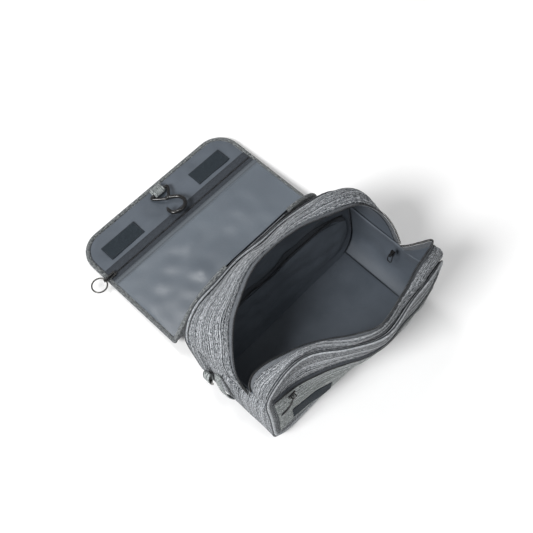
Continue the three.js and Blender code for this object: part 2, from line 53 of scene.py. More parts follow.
# ---- Driving dimensions: the CAD part's, apart from the right end of the front's MOUTH ----
HALF = 120.0
DEPTH = 96.0
BASE_THICK = 3.0
CORNER_TOP = 42.0
CORNER_LOW = 28.0
SHELL_HALF = 117.6
TALL = {"front": 132.0, "back": 116.0}
INWARD = {"front": -1.0, "back": 1.0}  # sign of an inward offset along a surface's normal
SEAM_START = {"front": 88.0, "back": 70.0}  # height on each panel where its band begins
HINGE_Y = 49.0
HINGE_Z = 4.0
SEAM_DEPTH = 2.7
FABRIC = 0.8
LINING_AT = 4.6
LINING = 0.6
BAND_LIMIT = {"front": 114.6, "back": 117.8}
RIM = (89.0, 121.0)
FOLD = (104.0, 13.0)
FLAP_END = (275.0, 0.6)
FLAP_HALF = 118.0
FLAP_CORNER = 30.0
FLAP_THICK = 3.3
ZIP_Y = 217.0
WINDOW_Y = (109.0, 204.0)
TOP_Y = {
    "front": [-31, -32, -40, -58, -72, -74, -70, -64, -54],
    "back": [85, 86, 87, 88, 86, 86, 83, 77, 68],
}
TOP_Z = {
    "front": [148, 146, 143, 139, 135, 134, 133, 132, 131],
    "back": [113, 117, 119, 120, 120, 120, 119, 118, 116],
}
FRONT_BELLY = [1, 2, 4, 6, 8, 9, 10, 11, 9]
MOUTH = {
    "front": [
        (-113, -9, 78), (-112.5, -8, 98), (-106, -8, 113), (-94, -12, 126), (-76, -21, 141), (-60, -29, 148),
        (-40, -40, 150), (-20, -54, 150), (1, -66, 150), (22, -66, 149), (46, -61, 148), (70, -54, 145),
        (94, -49, 142), (112, -43, 136), (114, -31, 115), (113, -18, 92), (113, -9, 78),
    ],
    "back": [
        (-116.6, -7, 78), (-116.6, 3, 96), (-113, 13, 114), (-99, 28, 130), (-80, 43, 136), (-55, 55, 139),
        (-30, 63, 140), (-2, 66, 140), (22, 63, 140), (50, 55, 138), (74, 46, 137), (96, 34, 132),
        (109, 21, 120), (116, 8, 102), (116.6, -7, 78),
    ],
}

# ---- Dimensions of the visible cloth only ----
TAPE_WIDE = 6.5  # zip tape showing at the mouth, wider than the CAD's solid
SEAM_IN = 1.6  # a topstitch's distance from its edge
BULGE = {"front": 4.5, "back": 8.5}  # how far the bands are pushed out near their right ends
GROOVES = (4.6, 11.5, 16.0)  # creases along the band, measured from the zip tape
SIDE_TURN = 0.36  # share of a side wall's length in its quarter turn up from the base
SIDE_TOP = 79.5
SIDE_CLIMB = {-1: 20, 1: 11}  # how much higher the left and right side walls are at the front
SIDE_CURL = 5.0  # how far their top edges lean inwards
SIDE_EDGE = 117.0  # where they meet the panels
SIDE_SEAM_ROW = 50  # the mesh row of their topstitch
GUSSET_MIDDLE = 0.4  # where a side wall is split between the two shells
FLAP_INSET = 1.5  # the flap's cloth ends this far inside its binding
TOP_TAPER = 36  # how much narrower the flap's top section is at the rim, on each side
COVER_DROP = 2.4  # from the fold's axis down to the cover's underside
FLAP_ZIP_HALF = 113.5
TOUCH_PATCH = {"left": (-97, -46), "right": (44, 95)}  # the cover's fasteners, from and to
TOUCH_PATCH_Y = (233.0, 254.0)
FRONT_PATCH = {"left": (-92, -42), "right": (42, 92)}
FRONT_ZIP = 0.685  # the front pocket zip's share of the wall's height
SHARP = math.radians(50)  # edges sharper than this stay sharp


# ---- Curves and surfaces ----
def spline(values, t):
    """Catmull-Rom through evenly spaced values, numbers or points, at t from 0 to 1."""
    values, t = np.asarray(values, float), np.asarray(t, float)
    n = len(values) - 1
    s = np.clip(t, 0, 1) * n
    i = np.minimum(s.astype(int), n - 1)
    f = s - i
    if values.ndim == 2:
        f = f[..., None]
    a, b, c, d = values[np.maximum(i - 1, 0)], values[i], values[i + 1], values[np.minimum(i + 2, n)]
    return 0.5 * (2 * b + (c - a) * f + (2 * a - 5 * b + 4 * c - d) * f**2 + (3 * b - a - 3 * c + d) * f**3)


def smooth(edge0, edge1, x):
    t = np.clip((x - edge0) / (edge1 - edge0), 0, 1)
    return t * t * (3 - 2 * t)


def field(p, wavelength, seed, stretch=(1, 1, 1)):
    """Smooth random field with unit variance: a sum of plane waves with fixed random directions."""
    rng = np.random.default_rng(seed)
    total = np.zeros(p.shape[:-1])
    waves = 22
    for _ in range(waves):
        k = rng.normal(size=3)
        k *= 2 * math.pi / wavelength * rng.uniform(0.6, 1.3) / np.linalg.norm(k)
        total += np.cos((p * np.array(stretch)) @ k + rng.uniform(0, 2 * math.pi))
    return total * math.sqrt(2 / waves)


def grid(nu, nv, v0=0.0, v1=1.0, dense=False):
    u = np.linspace(0, 1, nu + 1)
    if dense:
        u = 0.5 * u + 0.5 * (0.5 - 0.5 * np.cos(math.pi * u))
    return np.meshgrid(u, np.linspace(v0, v1, nv + 1), indexing="ij")


def normals(points):
    n = np.cross(np.gradient(points, axis=0), np.gradient(points, axis=1))
    return n / (np.linalg.norm(n, axis=-1, keepdims=True) + 1e-12)


def top_height(shell, x):
    return spline(TOP_Z[shell], (x + HALF) / (2 * HALF))


def wall_at(shell, x, q):
    """Points on a wall: x along it, and q from 0 at its hinge line to 1 at its top edge."""
    t = (x + HALF) / (2 * HALF)
    top_y = spline(TOP_Y[shell], t)
    if shell == "front":
        y = -HINGE_Y + (top_y + HINGE_Y) * q - spline(FRONT_BELLY, t) * np.sin(np.pi * q)
    else:
        y = HINGE_Y + (top_y - HINGE_Y) * np.maximum(q, 0) ** 0.8 + 3 * np.sin(np.pi * q)
    return np.stack([x, y, HINGE_Z + (top_height(shell, x) - HINGE_Z) * q], -1)


def wall_share(shell, x, z):
    """How far up a wall a height is, as wall_at's q."""
    return (z - HINGE_Z) / (top_height(shell, x) - HINGE_Z)


def corner_cut(over, radius):
    """How far a round corner falls back, at a distance past its start."""
    return radius - np.sqrt(np.maximum(radius**2 - over**2, 0))


def wall_grid(shell, inset, nu, nv, low=0.0, high=1.0):
    u, v = grid(nu, nv, low, high, dense=True)
    reach = SHELL_HALF - inset
    x = reach * (2 * u - 1)
    low_over, top_over = (np.maximum(np.abs(x) - (reach + 0.01 - r), 0) for r in (CORNER_LOW, CORNER_TOP))
    bottom = inset + corner_cut(low_over, CORNER_LOW)
    top = TALL[shell] - inset - corner_cut(top_over, CORNER_TOP)
    return wall_at(shell, x, (bottom + (top - bottom) * v) / TALL[shell])


def outline(shell, inset, start):
    """Panel outline from the left side at height start over the top to the right side, as CAD has it."""
    reach, radius, tall = SHELL_HALF - inset, CORNER_TOP - inset, TALL[shell]
    rise = tall - inset - radius
    side = [(-reach, start + (rise - start) * i / 3) for i in range(4)]
    turns = [math.pi - math.pi / 2 * i / 6 for i in range(1, 7)]
    arc = [(-reach + radius + radius * math.cos(a), rise + radius * math.sin(a)) for a in turns]
    top = [((-reach + radius) * (1 - i / 4), tall - inset) for i in range(1, 8)]
    left = side + arc + top
    return left + [(-x, h) for x, h in left[-8::-1]]


def rails(shell):
    path = np.array(outline(shell, 0.2, SEAM_START[shell]))
    points = wall_at(shell, path[:, 0], path[:, 1] / TALL[shell])
    points[:, 1] -= SEAM_DEPTH * INWARD[shell]
    return points


RAILS = {shell: rails(shell) for shell in TALL}


def band_at(shell, u, v):
    """Gusset band: u along the rim from the left end, v from the panel's seam to the mouth."""
    start, end = spline(RAILS[shell], u), spline(MOUTH[shell], u)
    width = np.linalg.norm(end - start, axis=-1)
    p = start * (1 - v)[..., None] + end * v[..., None]
    p[..., 2] += 0.08 * width * np.sin(np.pi * v) * np.sin(np.pi * u)
    p[..., 0] = np.clip(p[..., 0], -BAND_LIMIT[shell], BAND_LIMIT[shell])
    return p


def band_width(shell, u):
    return np.linalg.norm(spline(MOUTH[shell], u) - spline(RAILS[shell], u), axis=-1)


def settle(p):
    """The bag's slack: all layers of cloth move by one smooth field, which dies out at the floor."""
    grow = smooth(6, 45, p[..., 2])[..., None]
    sway = np.stack([field(p, 62, 11) * 0.35, field(p, 70, 12), field(p, 80, 13) * 0.7], -1)
    return p + grow * sway * 1.1


# ---- Mesh building ----
class Shape:
    """The surfaces of one piece. Each vertex keeps its place on the cloth, along and across, in metres."""

    def __init__(self):
        self.verts, self.faces, self.cloth, self.slots = [], [], [], []
        self.count = 0

    def add(self, points, faces, cloth, slot=0):
        self.verts.append(points.reshape(-1, 3))
        self.cloth.append(cloth.reshape(-1, 2))
        self.faces += [tuple(int(k) + self.count for k in f) for f in faces]
        self.slots += [slot] * len(faces)
        self.count += len(points.reshape(-1, 3))

    def sheet(self, middle, near, far, slot=0, across=False):
        """A closed sheet between two offsets along the normal. across turns the weave by a quarter."""
        nu, nv = middle.shape[:2]
        n = normals(middle)
        if np.ndim(near):
            near, far = near[..., None], far[..., None]
        layers = np.stack([middle + n * near, middle + n * far])
        run = np.linalg.norm(np.diff(middle, axis=0), axis=-1).mean(1)
        rise = np.linalg.norm(np.diff(middle, axis=1), axis=-1).mean(0)
        a = np.concatenate([[0], np.cumsum(run)]) * MM
        b = np.concatenate([[0], np.cumsum(rise)]) * MM
        cloth = np.stack(np.meshgrid(a, b, indexing="ij"), -1)
        if across:
            cloth = cloth[..., ::-1]
        i, j = np.meshgrid(np.arange(nu - 1), np.arange(nv - 1), indexing="ij")
        i, j = i.ravel(), j.ravel()
        size = nu * nv

        def quads(*corners):
            return np.stack([layer * size + i * nv + j for i, j, layer in corners], -1)

        faces = [
            quads((i, j, 1), (i + 1, j, 1), (i + 1, j + 1, 1), (i, j + 1, 1)),
            quads((i, j, 0), (i, j + 1, 0), (i + 1, j + 1, 0), (i + 1, j, 0)),
        ]
        i, last = np.arange(nu - 1), nv - 1
        faces.append(quads((i, 0, 0), (i + 1, 0, 0), (i + 1, 0, 1), (i, 0, 1)))
        faces.append(quads((i, last, 1), (i + 1, last, 1), (i + 1, last, 0), (i, last, 0)))
        j, last = np.arange(nv - 1), nu - 1
        faces.append(quads((0, j, 1), (0, j + 1, 1), (0, j + 1, 0), (0, j, 0)))
        faces.append(quads((last, j, 0), (last, j + 1, 0), (last, j + 1, 1), (last, j, 1)))
        self.add(layers, np.concatenate(faces), np.stack([cloth, cloth]), slot)
        return self

    def sweep(self, path, section, slot=0, closed=False, up=None, scale=None):
        """Sweeps a closed 2-D section (side, up) along a path. up gives the section's upward direction."""
        path = np.asarray(path, float)
        side, up = frames(path, closed, up)
        rings, m = len(path), len(section)
        section = np.asarray(section, float)
        grow = np.ones(rings) if scale is None else np.asarray(scale, float)
        points = (
            path[:, None]
            + side[:, None] * (section[None, :, :1] * grow[:, None, None])
            + up[:, None] * (section[None, :, 1:] * grow[:, None, None])
        )
        run = run_along(path) * MM
        turn = np.linalg.norm(section - np.roll(section, 1, 0), axis=-1)
        round_ = np.cumsum(turn) * MM
        cloth = np.stack(np.meshgrid(run, round_, indexing="ij"), -1)
        i, k = np.meshgrid(np.arange(rings if closed else rings - 1), np.arange(m), indexing="ij")
        i, k = i.ravel(), k.ravel()
        nxt, k2 = (i + 1) % rings, (k + 1) % m
        faces = np.stack([i * m + k, nxt * m + k, nxt * m + k2, i * m + k2], -1).tolist()
        if not closed:
            faces += [list(range(m)), list(range((rings - 1) * m, rings * m))[::-1]]
        self.add(points, faces, cloth, slot)
        return self

    def tube(self, path, radius, slot=0, closed=False, sides=10, scale=None):
        return self.sweep(path, ring(radius, radius, sides), slot, closed, scale=scale)

    def stitches(self, path, outward, pitch=3.3, length=2.3, radius=0.3, slot=0):
        """Thread lying on the cloth: each stitch is a short arc whose ends dip into it."""
        path = resample(path, pitch)
        if np.ndim(outward) == 1:
            outward = np.broadcast_to(outward, path.shape)
        else:
            outward = resample_like(outward, len(path))
        run = np.gradient(path, axis=0)
        run /= np.linalg.norm(run, axis=-1, keepdims=True) + 1e-9
        for p, d, n in zip(path, run, outward):
            s = np.linspace(-0.5, 0.5, 5)[:, None]
            arc = p + d * s * length + n * (radius * 1.1 * np.cos(math.pi * s) - radius * 0.5)
            self.tube(arc, radius, slot, sides=5, scale=[0.55, 0.95, 1, 0.95, 0.55])
        return self

    def coil(self, path, outward, radius=0.95):
        """The spiral of a coil zip along its edge."""
        steps, pitch, wire = 8, 1.7, 0.33
        path = resample(path, pitch / steps)
        if np.ndim(outward) > 1:
            outward = resample_like(outward, len(path))
        side, up = frames(path, False, outward)
        a = np.arange(len(path)) * 2 * math.pi / steps
        helix = path + side * (np.cos(a) * radius)[:, None] + up * (np.sin(a) * radius * 0.8)[:, None]
        return self.tube(helix, wire, sides=5)

    def make(self, name, materials, body=None, slot=None, replaces=(), move=True, blend=None):
        """Makes the object, in metres, and hangs it on its body, or on none where blend is given."""
        points = np.concatenate(self.verts)
        if move:
            points = settle(points)
        points[:, 2] = np.maximum(points[:, 2], 0.02)
        mesh = bpy.data.meshes.new(name)
        mesh.from_pydata((points * MM).tolist(), [], self.faces)
        mesh.attributes.new("cloth", "FLOAT_VECTOR", "POINT")
        flat = np.zeros((len(points), 3), np.float32)
        flat[:, :2] = np.concatenate(self.cloth)
        mesh.attributes["cloth"].data.foreach_set("vector", flat.ravel())
        for m in materials if isinstance(materials, (list, tuple)) else [materials]:
            mesh.materials.append(m)
        mesh.polygons.foreach_set("material_index", np.array(self.slots, np.int32))
        mesh.validate()
        mesh.polygons.foreach_set("use_smooth", np.ones(len(mesh.polygons), bool))
        mesh.set_sharp_from_angle(angle=SHARP)
        o = bpy.data.objects.new(name, mesh)
        bpy.context.scene.collection.objects.link(o)
        if blend:
            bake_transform(o)
        else:
            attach(o, body)
        if replaces:
            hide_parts(*replaces)
        return o


def ring(rx, ry, sides=10, power=2.0):
    """Closed section: an ellipse, or a rounded rectangle where power is above 2."""
    a = np.arange(sides) * 2 * math.pi / sides
    return np.stack([r * np.sign(c) * np.abs(c) ** (2 / power) for r, c in ((rx, np.cos(a)), (ry, np.sin(a)))], -1)


def frames(path, closed, up=None):
    """Unit side and up directions along a path, square to it."""
    path = np.asarray(path, float)
    if closed:
        run = np.roll(path, -1, 0) - np.roll(path, 1, 0)
    else:
        run = np.gradient(path, axis=0)
    run /= np.linalg.norm(run, axis=-1, keepdims=True) + 1e-12
    if up is None:
        first = np.array([0, 0, 1.0]) if abs(run[0][2]) < 0.9 else np.array([1.0, 0, 0])
        ups = []
        for d in run:
            first = first - d * first.dot(d)
            first /= np.linalg.norm(first) + 1e-12
            ups.append(first)
        up = np.array(ups)
        if closed:  # spread the twist that's left over round the loop
            end = up[-1] - run[0] * up[-1].dot(run[0])
            twist = math.atan2(np.cross(end, up[0]).dot(run[0]), end.dot(up[0]))
            a = np.linspace(0, twist, len(path))[:, None]
            up = up * np.cos(a) + np.cross(run, up) * np.sin(a)
    else:
        up = np.broadcast_to(np.asarray(up, float), path.shape).copy()
        up -= run * (up * run).sum(-1, keepdims=True)
        up /= np.linalg.norm(up, axis=-1, keepdims=True) + 1e-12
    return np.cross(run, up), up


def run_along(path):
    """The distance along a path at each of its points."""
    return np.concatenate([[0], np.cumsum(np.linalg.norm(np.diff(path, axis=0), axis=-1))])


def between(at, known, values):
    return np.stack([np.interp(at, known, values[:, k]) for k in range(3)], -1)


def resample(path, step):
    path = np.asarray(path, float)
    run = run_along(path)
    n = max(int(round(run[-1] / step)), 2)
    return between(np.linspace(0, run[-1], n + 1), run, path)


def resample_like(values, n):
    return between(np.linspace(0, 1, n), np.linspace(0, 1, len(values)), values)


def curve(points, n, closed=False):
    """Catmull-Rom through points, with n points spread evenly along it."""
    points = np.asarray(points, float)
    if closed:
        m = len(points)
        points = np.concatenate([points[-2:], points, points[:3]])
        t = np.linspace(2, 2 + m, 40 * m + 1) / (len(points) - 1)
    else:
        t = np.linspace(0, 1, 40 * len(points))
    fine = spline(points, t)
    run = run_along(fine)
    even = between(np.linspace(0, run[-1], n + 1), run, fine)
    return even[:-1] if closed else even


def full_turn(n):
    """n angles spread evenly over a turn."""
    return np.linspace(0, 2 * math.pi, n + 1)[:-1]


def rounded(edge, radius, least):
    """A sheet's share of its thickness at a distance from its edge: 1 inside, and round down to least."""
    return np.maximum(np.sqrt(1 - (1 - np.clip(edge / radius, 0, 1)) ** 2), least)


def turned(p, angle):
    """The y and z of points turned about the x axis."""
    c, s = math.cos(angle), math.sin(angle)
    return p[..., 1] * c - p[..., 2] * s, p[..., 1] * s + p[..., 2] * c


# ---- Materials ----
def srgb(r, g, b):
    """A colour given as 8-bit sRGB, in the renderer's linear values."""
    linear = [((c / 255 + 0.055) / 1.055) ** 2.4 if c > 10 else c / 255 / 12.92 for c in (r, g, b)]
    return (*linear, 1.0)


def grey(value):
    return (value, value, value, 1)


class Nodes:
    """A short way to write a material's nodes."""

    def __init__(self, name, **values):
        self.material = bpy.data.materials.new(name)
        self.material.use_nodes = True
        self.tree = self.material.node_tree
        self.shader = self.tree.nodes["Principled BSDF"]
        for key, value in values.items():
            self.shader.inputs[key.replace("_", " ")].default_value = value

    def node(self, kind, inputs=(), **settings):
        n = self.tree.nodes.new("ShaderNode" + kind)
        for key, value in settings.items():
            setattr(n, key, value)
        for key, value in dict(inputs).items():
            if isinstance(value, bpy.types.NodeSocket):
                self.tree.links.new(value, n.inputs[key])
            else:
                n.inputs[key].default_value = value
        return n

    def math(self, operation, *values, clamp=False):
        return self.node("Math", dict(enumerate(values)), operation=operation, use_clamp=clamp).outputs[0]

    def place(self, scale, from_object=False):
        """Coordinates on the cloth, or in the object, times a scale for each axis."""
        if from_object:
            where = self.node("TexCoord").outputs["Object"]
        else:
            where = self.node("Attribute", attribute_name="cloth").outputs["Vector"]
        return self.node("Mapping", {"Vector": where, "Scale": scale}).outputs[0]

    def noise(self, where, detail=2.0, rough=0.5, scale=1.0):
        settings = {"Vector": where, "Scale": scale, "Detail": detail, "Roughness": rough}
        return self.node("TexNoise", settings).outputs[0]

    def stripes(self, where, scale, distortion, direction):
        """Even waves across one direction."""
        settings = {"Vector": where, "Scale": scale, "Distortion": distortion}
        return self.node("TexWave", settings, bands_direction=direction).outputs[1]

    def blend(self, *parts):
        """The sum of values, each given with its share."""
        total = None
        for value, share in parts:
            scaled = self.math("MULTIPLY", value, share)
            total = scaled if total is None else self.math("ADD", total, scaled)
        return total

    def ramp(self, value, stops):
        n = self.node("ValToRGB", {"Fac": value})
        stops = sorted(stops)
        n.color_ramp.elements[0].position, n.color_ramp.elements[0].color = stops[0]
        n.color_ramp.elements[1].position, n.color_ramp.elements[1].color = stops[-1]
        for place, color in stops[1:-1]:
            n.color_ramp.elements.new(place).color = color
        return n.outputs[0]

    def mix(self, share, a, b, kind="MIX"):
        n = self.tree.nodes.new("ShaderNodeMix")
        n.data_type, n.blend_type = "RGBA", kind
        for key, value in ((0, share), (6, a), (7, b)):
            if isinstance(value, bpy.types.NodeSocket):
                self.tree.links.new(value, n.inputs[key])
            else:
                n.inputs[key].default_value = value
        return n.outputs[2]

    def finish(self, color=None, rough=None, height=None, strength=0.5, distance=0.0004):
        links, inputs = self.tree.links, self.shader.inputs
        if color is not None:
            links.new(color, inputs["Base Color"])
        if rough is not None:
            links.new(rough, inputs["Roughness"])
        if height is not None:
            bump = self.node("Bump", {"Height": height, "Strength": strength, "Distance": distance})
            links.new(bump.outputs[0], inputs["Normal"])
        return self.material


def heather(name, dark, middle, light, contrast=1.0, barred=0.42):
    """Woven melange polyester: long light and dark flecks along the weft over a fine plain weave."""
    m = Nodes(name, Roughness=0.85, Sheen_Weight=0.05, Sheen_Roughness=0.5, Specular_IOR_Level=0.2)
    dashes = m.noise(m.place((240, 1450, 1)), detail=1.5, rough=0.6)
    specks = m.noise(m.place((640, 1750, 1)), detail=1.5, rough=0.6)
    rows = m.noise(m.place((4, 640, 1)), detail=1.0, rough=0.6)
    mixed = m.blend((dashes, 0.46), (specks, 0.46), (rows, barred))
    middle_at = 0.46 + barred / 2
    low, high = middle_at - 0.1 / contrast, middle_at + 0.11 / contrast
    color = m.ramp(mixed, [(low, dark), (middle_at - 0.01, middle), (high, light)])
    threads = m.place((1, 1, 1))
    warp = m.stripes(threads, 320.0, 0.6, "X")
    weft = m.stripes(threads, 480.0, 0.6, "Y")
    weave = m.math("MULTIPLY", warp, weft)
    shade = m.ramp(weave, [(0.0, (0.25, 0.25, 0.26, 1)), (0.6, (1.4, 1.4, 1.4, 1))])
    color = m.mix(0.28, color, m.mix(1.0, color, shade, "MULTIPLY"))
    height = m.blend((weave, 0.6), (specks, 0.9))
    rough = m.ramp(mixed, [(0.4, grey(0.92)), (0.8, grey(0.7))])
    return m.finish(color, rough, height, 0.55, 0.0005)


def smooth_cloth(name, low, high, rough=0.55, ribs=700.0):
    """Tightly woven nylon: even colour, a fine grain and a soft gloss."""
    m = Nodes(name, Sheen_Weight=0.05, Specular_IOR_Level=0.4, Roughness=rough)
    where = m.place((1, 1, 1))
    cloudy = m.noise(where, detail=4, rough=0.6, scale=24.0)
    grain = m.noise(m.place((1400, 1400, 1)), detail=2, rough=0.6)
    rib = m.stripes(where, ribs, 0.4, "DIAGONAL")
    tone = m.blend((cloudy, 0.55), (grain, 0.45))
    color = m.ramp(tone, [(0.3, low), (0.7, high)])
    shine = m.ramp(cloudy, [(0.35, grey(rough - 0.08)), (0.65, grey(rough + 0.1))])
    creases = m.noise(m.place((40, 95, 1)), detail=5, rough=0.6)
    return m.finish(color, shine, m.blend((rib, 0.25), (creases, 2.2)), 0.3, 0.0008)


def fuzzy(name, low, high):
    """Touch fastener: a dense field of small hooks."""
    m = Nodes(name, Roughness=0.95, Sheen_Weight=0.04, Specular_IOR_Level=0.1)
    where = m.place((1, 1, 1))
    hooks = m.node("TexVoronoi", {"Vector": where, "Scale": 1150.0, "Randomness": 0.7}).outputs[0]
    fluff = m.noise(where, detail=4, rough=0.7, scale=900.0)
    tone = m.blend((hooks, 0.6), (fluff, 0.5))
    color = m.ramp(tone, [(0.2, low), (0.75, high)])
    return m.finish(color, None, tone, 0.9, 0.0009)


def tape_cloth(name, low, high):
    """Zip tape: a herringbone of fine ribs along its length."""
    m = Nodes(name, Roughness=0.85, Sheen_Weight=0.05, Specular_IOR_Level=0.2)
    where = m.place((1, 1, 1))
    rib = m.stripes(where, 300.0, 0.8, "Y")
    cross = m.stripes(where, 420.0, 1.0, "DIAGONAL")
    fleck = m.noise(m.place((260, 1500, 1)), detail=2)
    tone = m.blend((rib, 0.3), (cross, 0.2), (fleck, 0.6))
    color = m.ramp(tone, [(0.3, low), (0.8, high)])
    return m.finish(color, None, tone, 0.6, 0.0005)


def plain(name, color, rough, metal=0.0, grain=0.0, coat=0.0, wear=None):
    """Metal or moulded plastic with faint unevenness, and a worn tone on its edges if wear is given."""
    m = Nodes(name, Metallic=metal, Roughness=rough, Coat_Weight=coat, Coat_Roughness=0.08)
    where = m.place((1, 1, 1), from_object=True)
    cloudy = m.noise(where, detail=4, rough=0.6, scale=350.0)
    fine = m.noise(where, detail=3, rough=0.6, scale=2600.0)
    high = tuple(min(c * 1.5 + 0.01, 1) for c in color[:3]) + (1,)
    tone = m.ramp(cloudy, [(0.35, color), (0.7, high)])
    if wear is not None:
        edge = m.node("NewGeometry").outputs["Pointiness"]
        share = m.ramp(edge, [(0.53, grey(0)), (0.6, grey(1))])
        tone = m.mix(m.math("MULTIPLY", share, 0.5), tone, wear)
    shine = m.ramp(fine, [(0.3, grey(max(rough - 0.06, 0.03))), (0.7, grey(rough + 0.1))])
    return m.finish(tone, shine, fine, 0.1 + grain, 0.0001)


def clear_film(name):
    """Flexible clear vinyl: a bluish grey tint, glossy, with soft ripples."""
    m = Nodes(name, Roughness=0.34, Specular_IOR_Level=0.8, Alpha=0.34, Coat_Weight=0.15, Coat_Roughness=0.2)
    where = m.place((1, 1, 1))
    ripples = m.noise(m.place((14, 24, 1)), detail=0.0)
    scuffs = m.noise(m.place((900, 90, 1)), detail=3, rough=0.7)
    color = m.ramp(m.noise(where, scale=9.0), [(0.3, srgb(112, 121, 131)), (0.7, srgb(130, 140, 150))])
    shine = m.ramp(scuffs, [(0.45, grey(0.3)), (0.8, grey(0.42))])
    return m.finish(color, shine, ripples, 0.12, 0.002)


CLOTH = heather("heather_polyester", srgb(26, 28, 31), srgb(92, 96, 100), srgb(186, 189, 193))
PALE_CLOTH = heather("heather_polyester_pale", srgb(48, 52, 53), srgb(112, 118, 118), srgb(196, 201, 200))
BINDING = heather(
    "heather_binding", srgb(30, 32, 34), srgb(84, 88, 90), srgb(168, 171, 171), contrast=0.9, barred=0.1
)
PIPING = heather("heather_piping", srgb(112, 116, 120), srgb(160, 164, 168), srgb(206, 209, 212), barred=0.0)
LINER = smooth_cloth("slate_lining", srgb(68, 75, 83), srgb(88, 95, 104))
STRIP = smooth_cloth("window_edging", srgb(74, 80, 86), srgb(92, 98, 104), ribs=420.0)
TAPE = tape_cloth("zip_tape_cloth", srgb(26, 29, 33), srgb(72, 77, 84))
TAPE_GREY = tape_cloth("zip_tape_grey", srgb(44, 47, 51), srgb(122, 126, 131))
TEETH = plain("zip_coil", srgb(20, 21, 23), 0.42, grain=0.1)
VELCRO = fuzzy("touch_fastener", srgb(24, 29, 33), srgb(50, 57, 63))
FILM = clear_film("clear_vinyl")
BLACK_METAL = plain("black_lacquer", srgb(18, 19, 21), 0.34, metal=0.3, coat=0.1, wear=srgb(70, 70, 72))
GUNMETAL = plain("dark_nickel", srgb(74, 73, 71), 0.34, metal=0.9, wear=srgb(150, 148, 144))
BLACK_GLOSS = plain("black_gloss", srgb(8, 8, 9), 0.24, coat=0.15)
THREAD = smooth_cloth("grey_thread", srgb(120, 123, 126), srgb(168, 170, 172), rough=0.7, ribs=1500.0)
# The dark thread's colour also goes on the thin cord beside each wall's piping, which is painted seam shadow.
DARK_THREAD_AND_SEAM_SHADOW = smooth_cloth("dark_thread_and_seam_shadow", srgb(34, 36, 40), srgb(58, 61, 66), rough=0.7, ribs=1500.0)


# ---- Shell walls: outer cloth, lining, the edge piping and a painted seam shadow beside it ----
DENTING = 0.8  # depth of the walls' dents


def dents(p):
    return field(p, 46, 21) * 0.7 + field(p, 21, 22, (1, 1, 1.6)) * 0.3


def rumple(p, amount=DENTING):
    """Soft dents of a padded wall, pushed along its normal."""
    return p + normals(p) * (dents(p) * amount)[..., None]


def edge_fade(nu, nv):
    """1 inside a grid and 0 at its edges, so that dents leave the seams alone."""
    u, v = grid(nu, nv)
    return np.minimum(smooth(0, 0.12, np.minimum(u, 1 - u)), smooth(0, 0.16, np.minimum(v, 1 - v)))


def dented_wall(shell, inset, nu, nv, low=0.0, high=1.0, amount=DENTING):
    p = wall_grid(shell, inset, nu, nv, low, high)
    return p + (rumple(p, amount) - p) * edge_fade(nu, nv)[..., None]


def outline_loop(shell, inset, n=220):
    """The panel's whole outline, closed, as points on the panel."""
    reach, tall = SHELL_HALF - inset, TALL[shell] - inset
    corners = [
        (reach, tall, CORNER_TOP - inset, 0), (-reach, tall, CORNER_TOP - inset, 90),
        (-reach, inset, CORNER_LOW - inset, 180), (reach, inset, CORNER_LOW - inset, 270),
    ]
    path = []
    for x, h, r, start in corners:
        cx, cy = x - math.copysign(r, x), h - r if start < 180 else h + r
        for i in range(9):
            a = math.radians(start + 90 * i / 8)
            path.append((cx + r * math.cos(a), cy + r * math.sin(a), 0))
    path.append(path[0])
    path = resample(path, 600 / n)[:-1]
    return wall_at(shell, path[:, 0], path[:, 1] / TALL[shell])


def loop_normals(shell, points):
    """The wall's normals at points on it, turned outwards."""
    x = points[:, 0]
    q = wall_share(shell, x, points[:, 2])
    du = wall_at(shell, x + 0.5, q) - wall_at(shell, x - 0.5, q)
    dv = wall_at(shell, x, q + 0.004) - wall_at(shell, x, q - 0.004)
    n = np.cross(du, dv) * -INWARD[shell]
    return n / np.linalg.norm(n, axis=-1, keepdims=True)


for shell in TALL:
    body, inward = f"{shell}_shell", INWARD[shell]
    outer = Shape().sheet(dented_wall(shell, 1.2, 120, 60), *sorted((0, inward * FABRIC)))
    seam = outline_loop(shell, 5.2)
    outer.stitches(seam, loop_normals(shell, seam), slot=1)
    nodes = [f"{shell}_panel", f"{shell}_foam"]
    wall = outer.make(f"{shell}_wall_cloth", [CLOTH, DARK_THREAD_AND_SEAM_SHADOW], body, "heather_cloth", nodes)
    far = LINING_AT + LINING
    lining = dented_wall(shell, 3.4, 110, 56, low=-0.035, amount=1.1)
    inner = Shape().sheet(lining, *sorted((inward * LINING_AT, inward * far)))
    inner.make(f"{shell}_wall_lining", LINER, body, "smooth_lining", [f"{shell}_lining"])
    cord = Shape().tube(outline_loop(shell, 0.1), 1.75, closed=True, sides=12)
    # The thin dark cord just outside the piping is painted seam shadow: a dark line standing where the seam only
    # has shade.
    cord.tube(outline_loop(shell, -1.7), 0.75, slot=1, closed=True, sides=8)
    cord.make(f"{shell}_wall_piping_and_seam_shadow", [PIPING, DARK_THREAD_AND_SEAM_SHADOW], body, "edge_binding", [f"{shell}_piping"])


# ---- Gusset bands with their zip ----
def band_strip(shell, start, end, nu=230, nv=20):
    """A strip of the band between two distances from the mouth, or from the seam where start is None."""
    u, s = grid(nu, nv)
    width = band_width(shell, u)
    low = np.zeros_like(u) if start is None else 1 - np.minimum(start, width * 0.8) / width
    high = 1 - end / width
    return band_at(shell, u, low + (high - low) * s), u, s


def outward_path(shell, distance, n=230):
    """A line on the band at a distance from its mouth edge, with the band's outward normals."""
    points, _, _ = band_strip(shell, distance + 1, distance - 1, n, 2)
    return points[:, 1], normals(points)[:, 1] * -INWARD[shell]


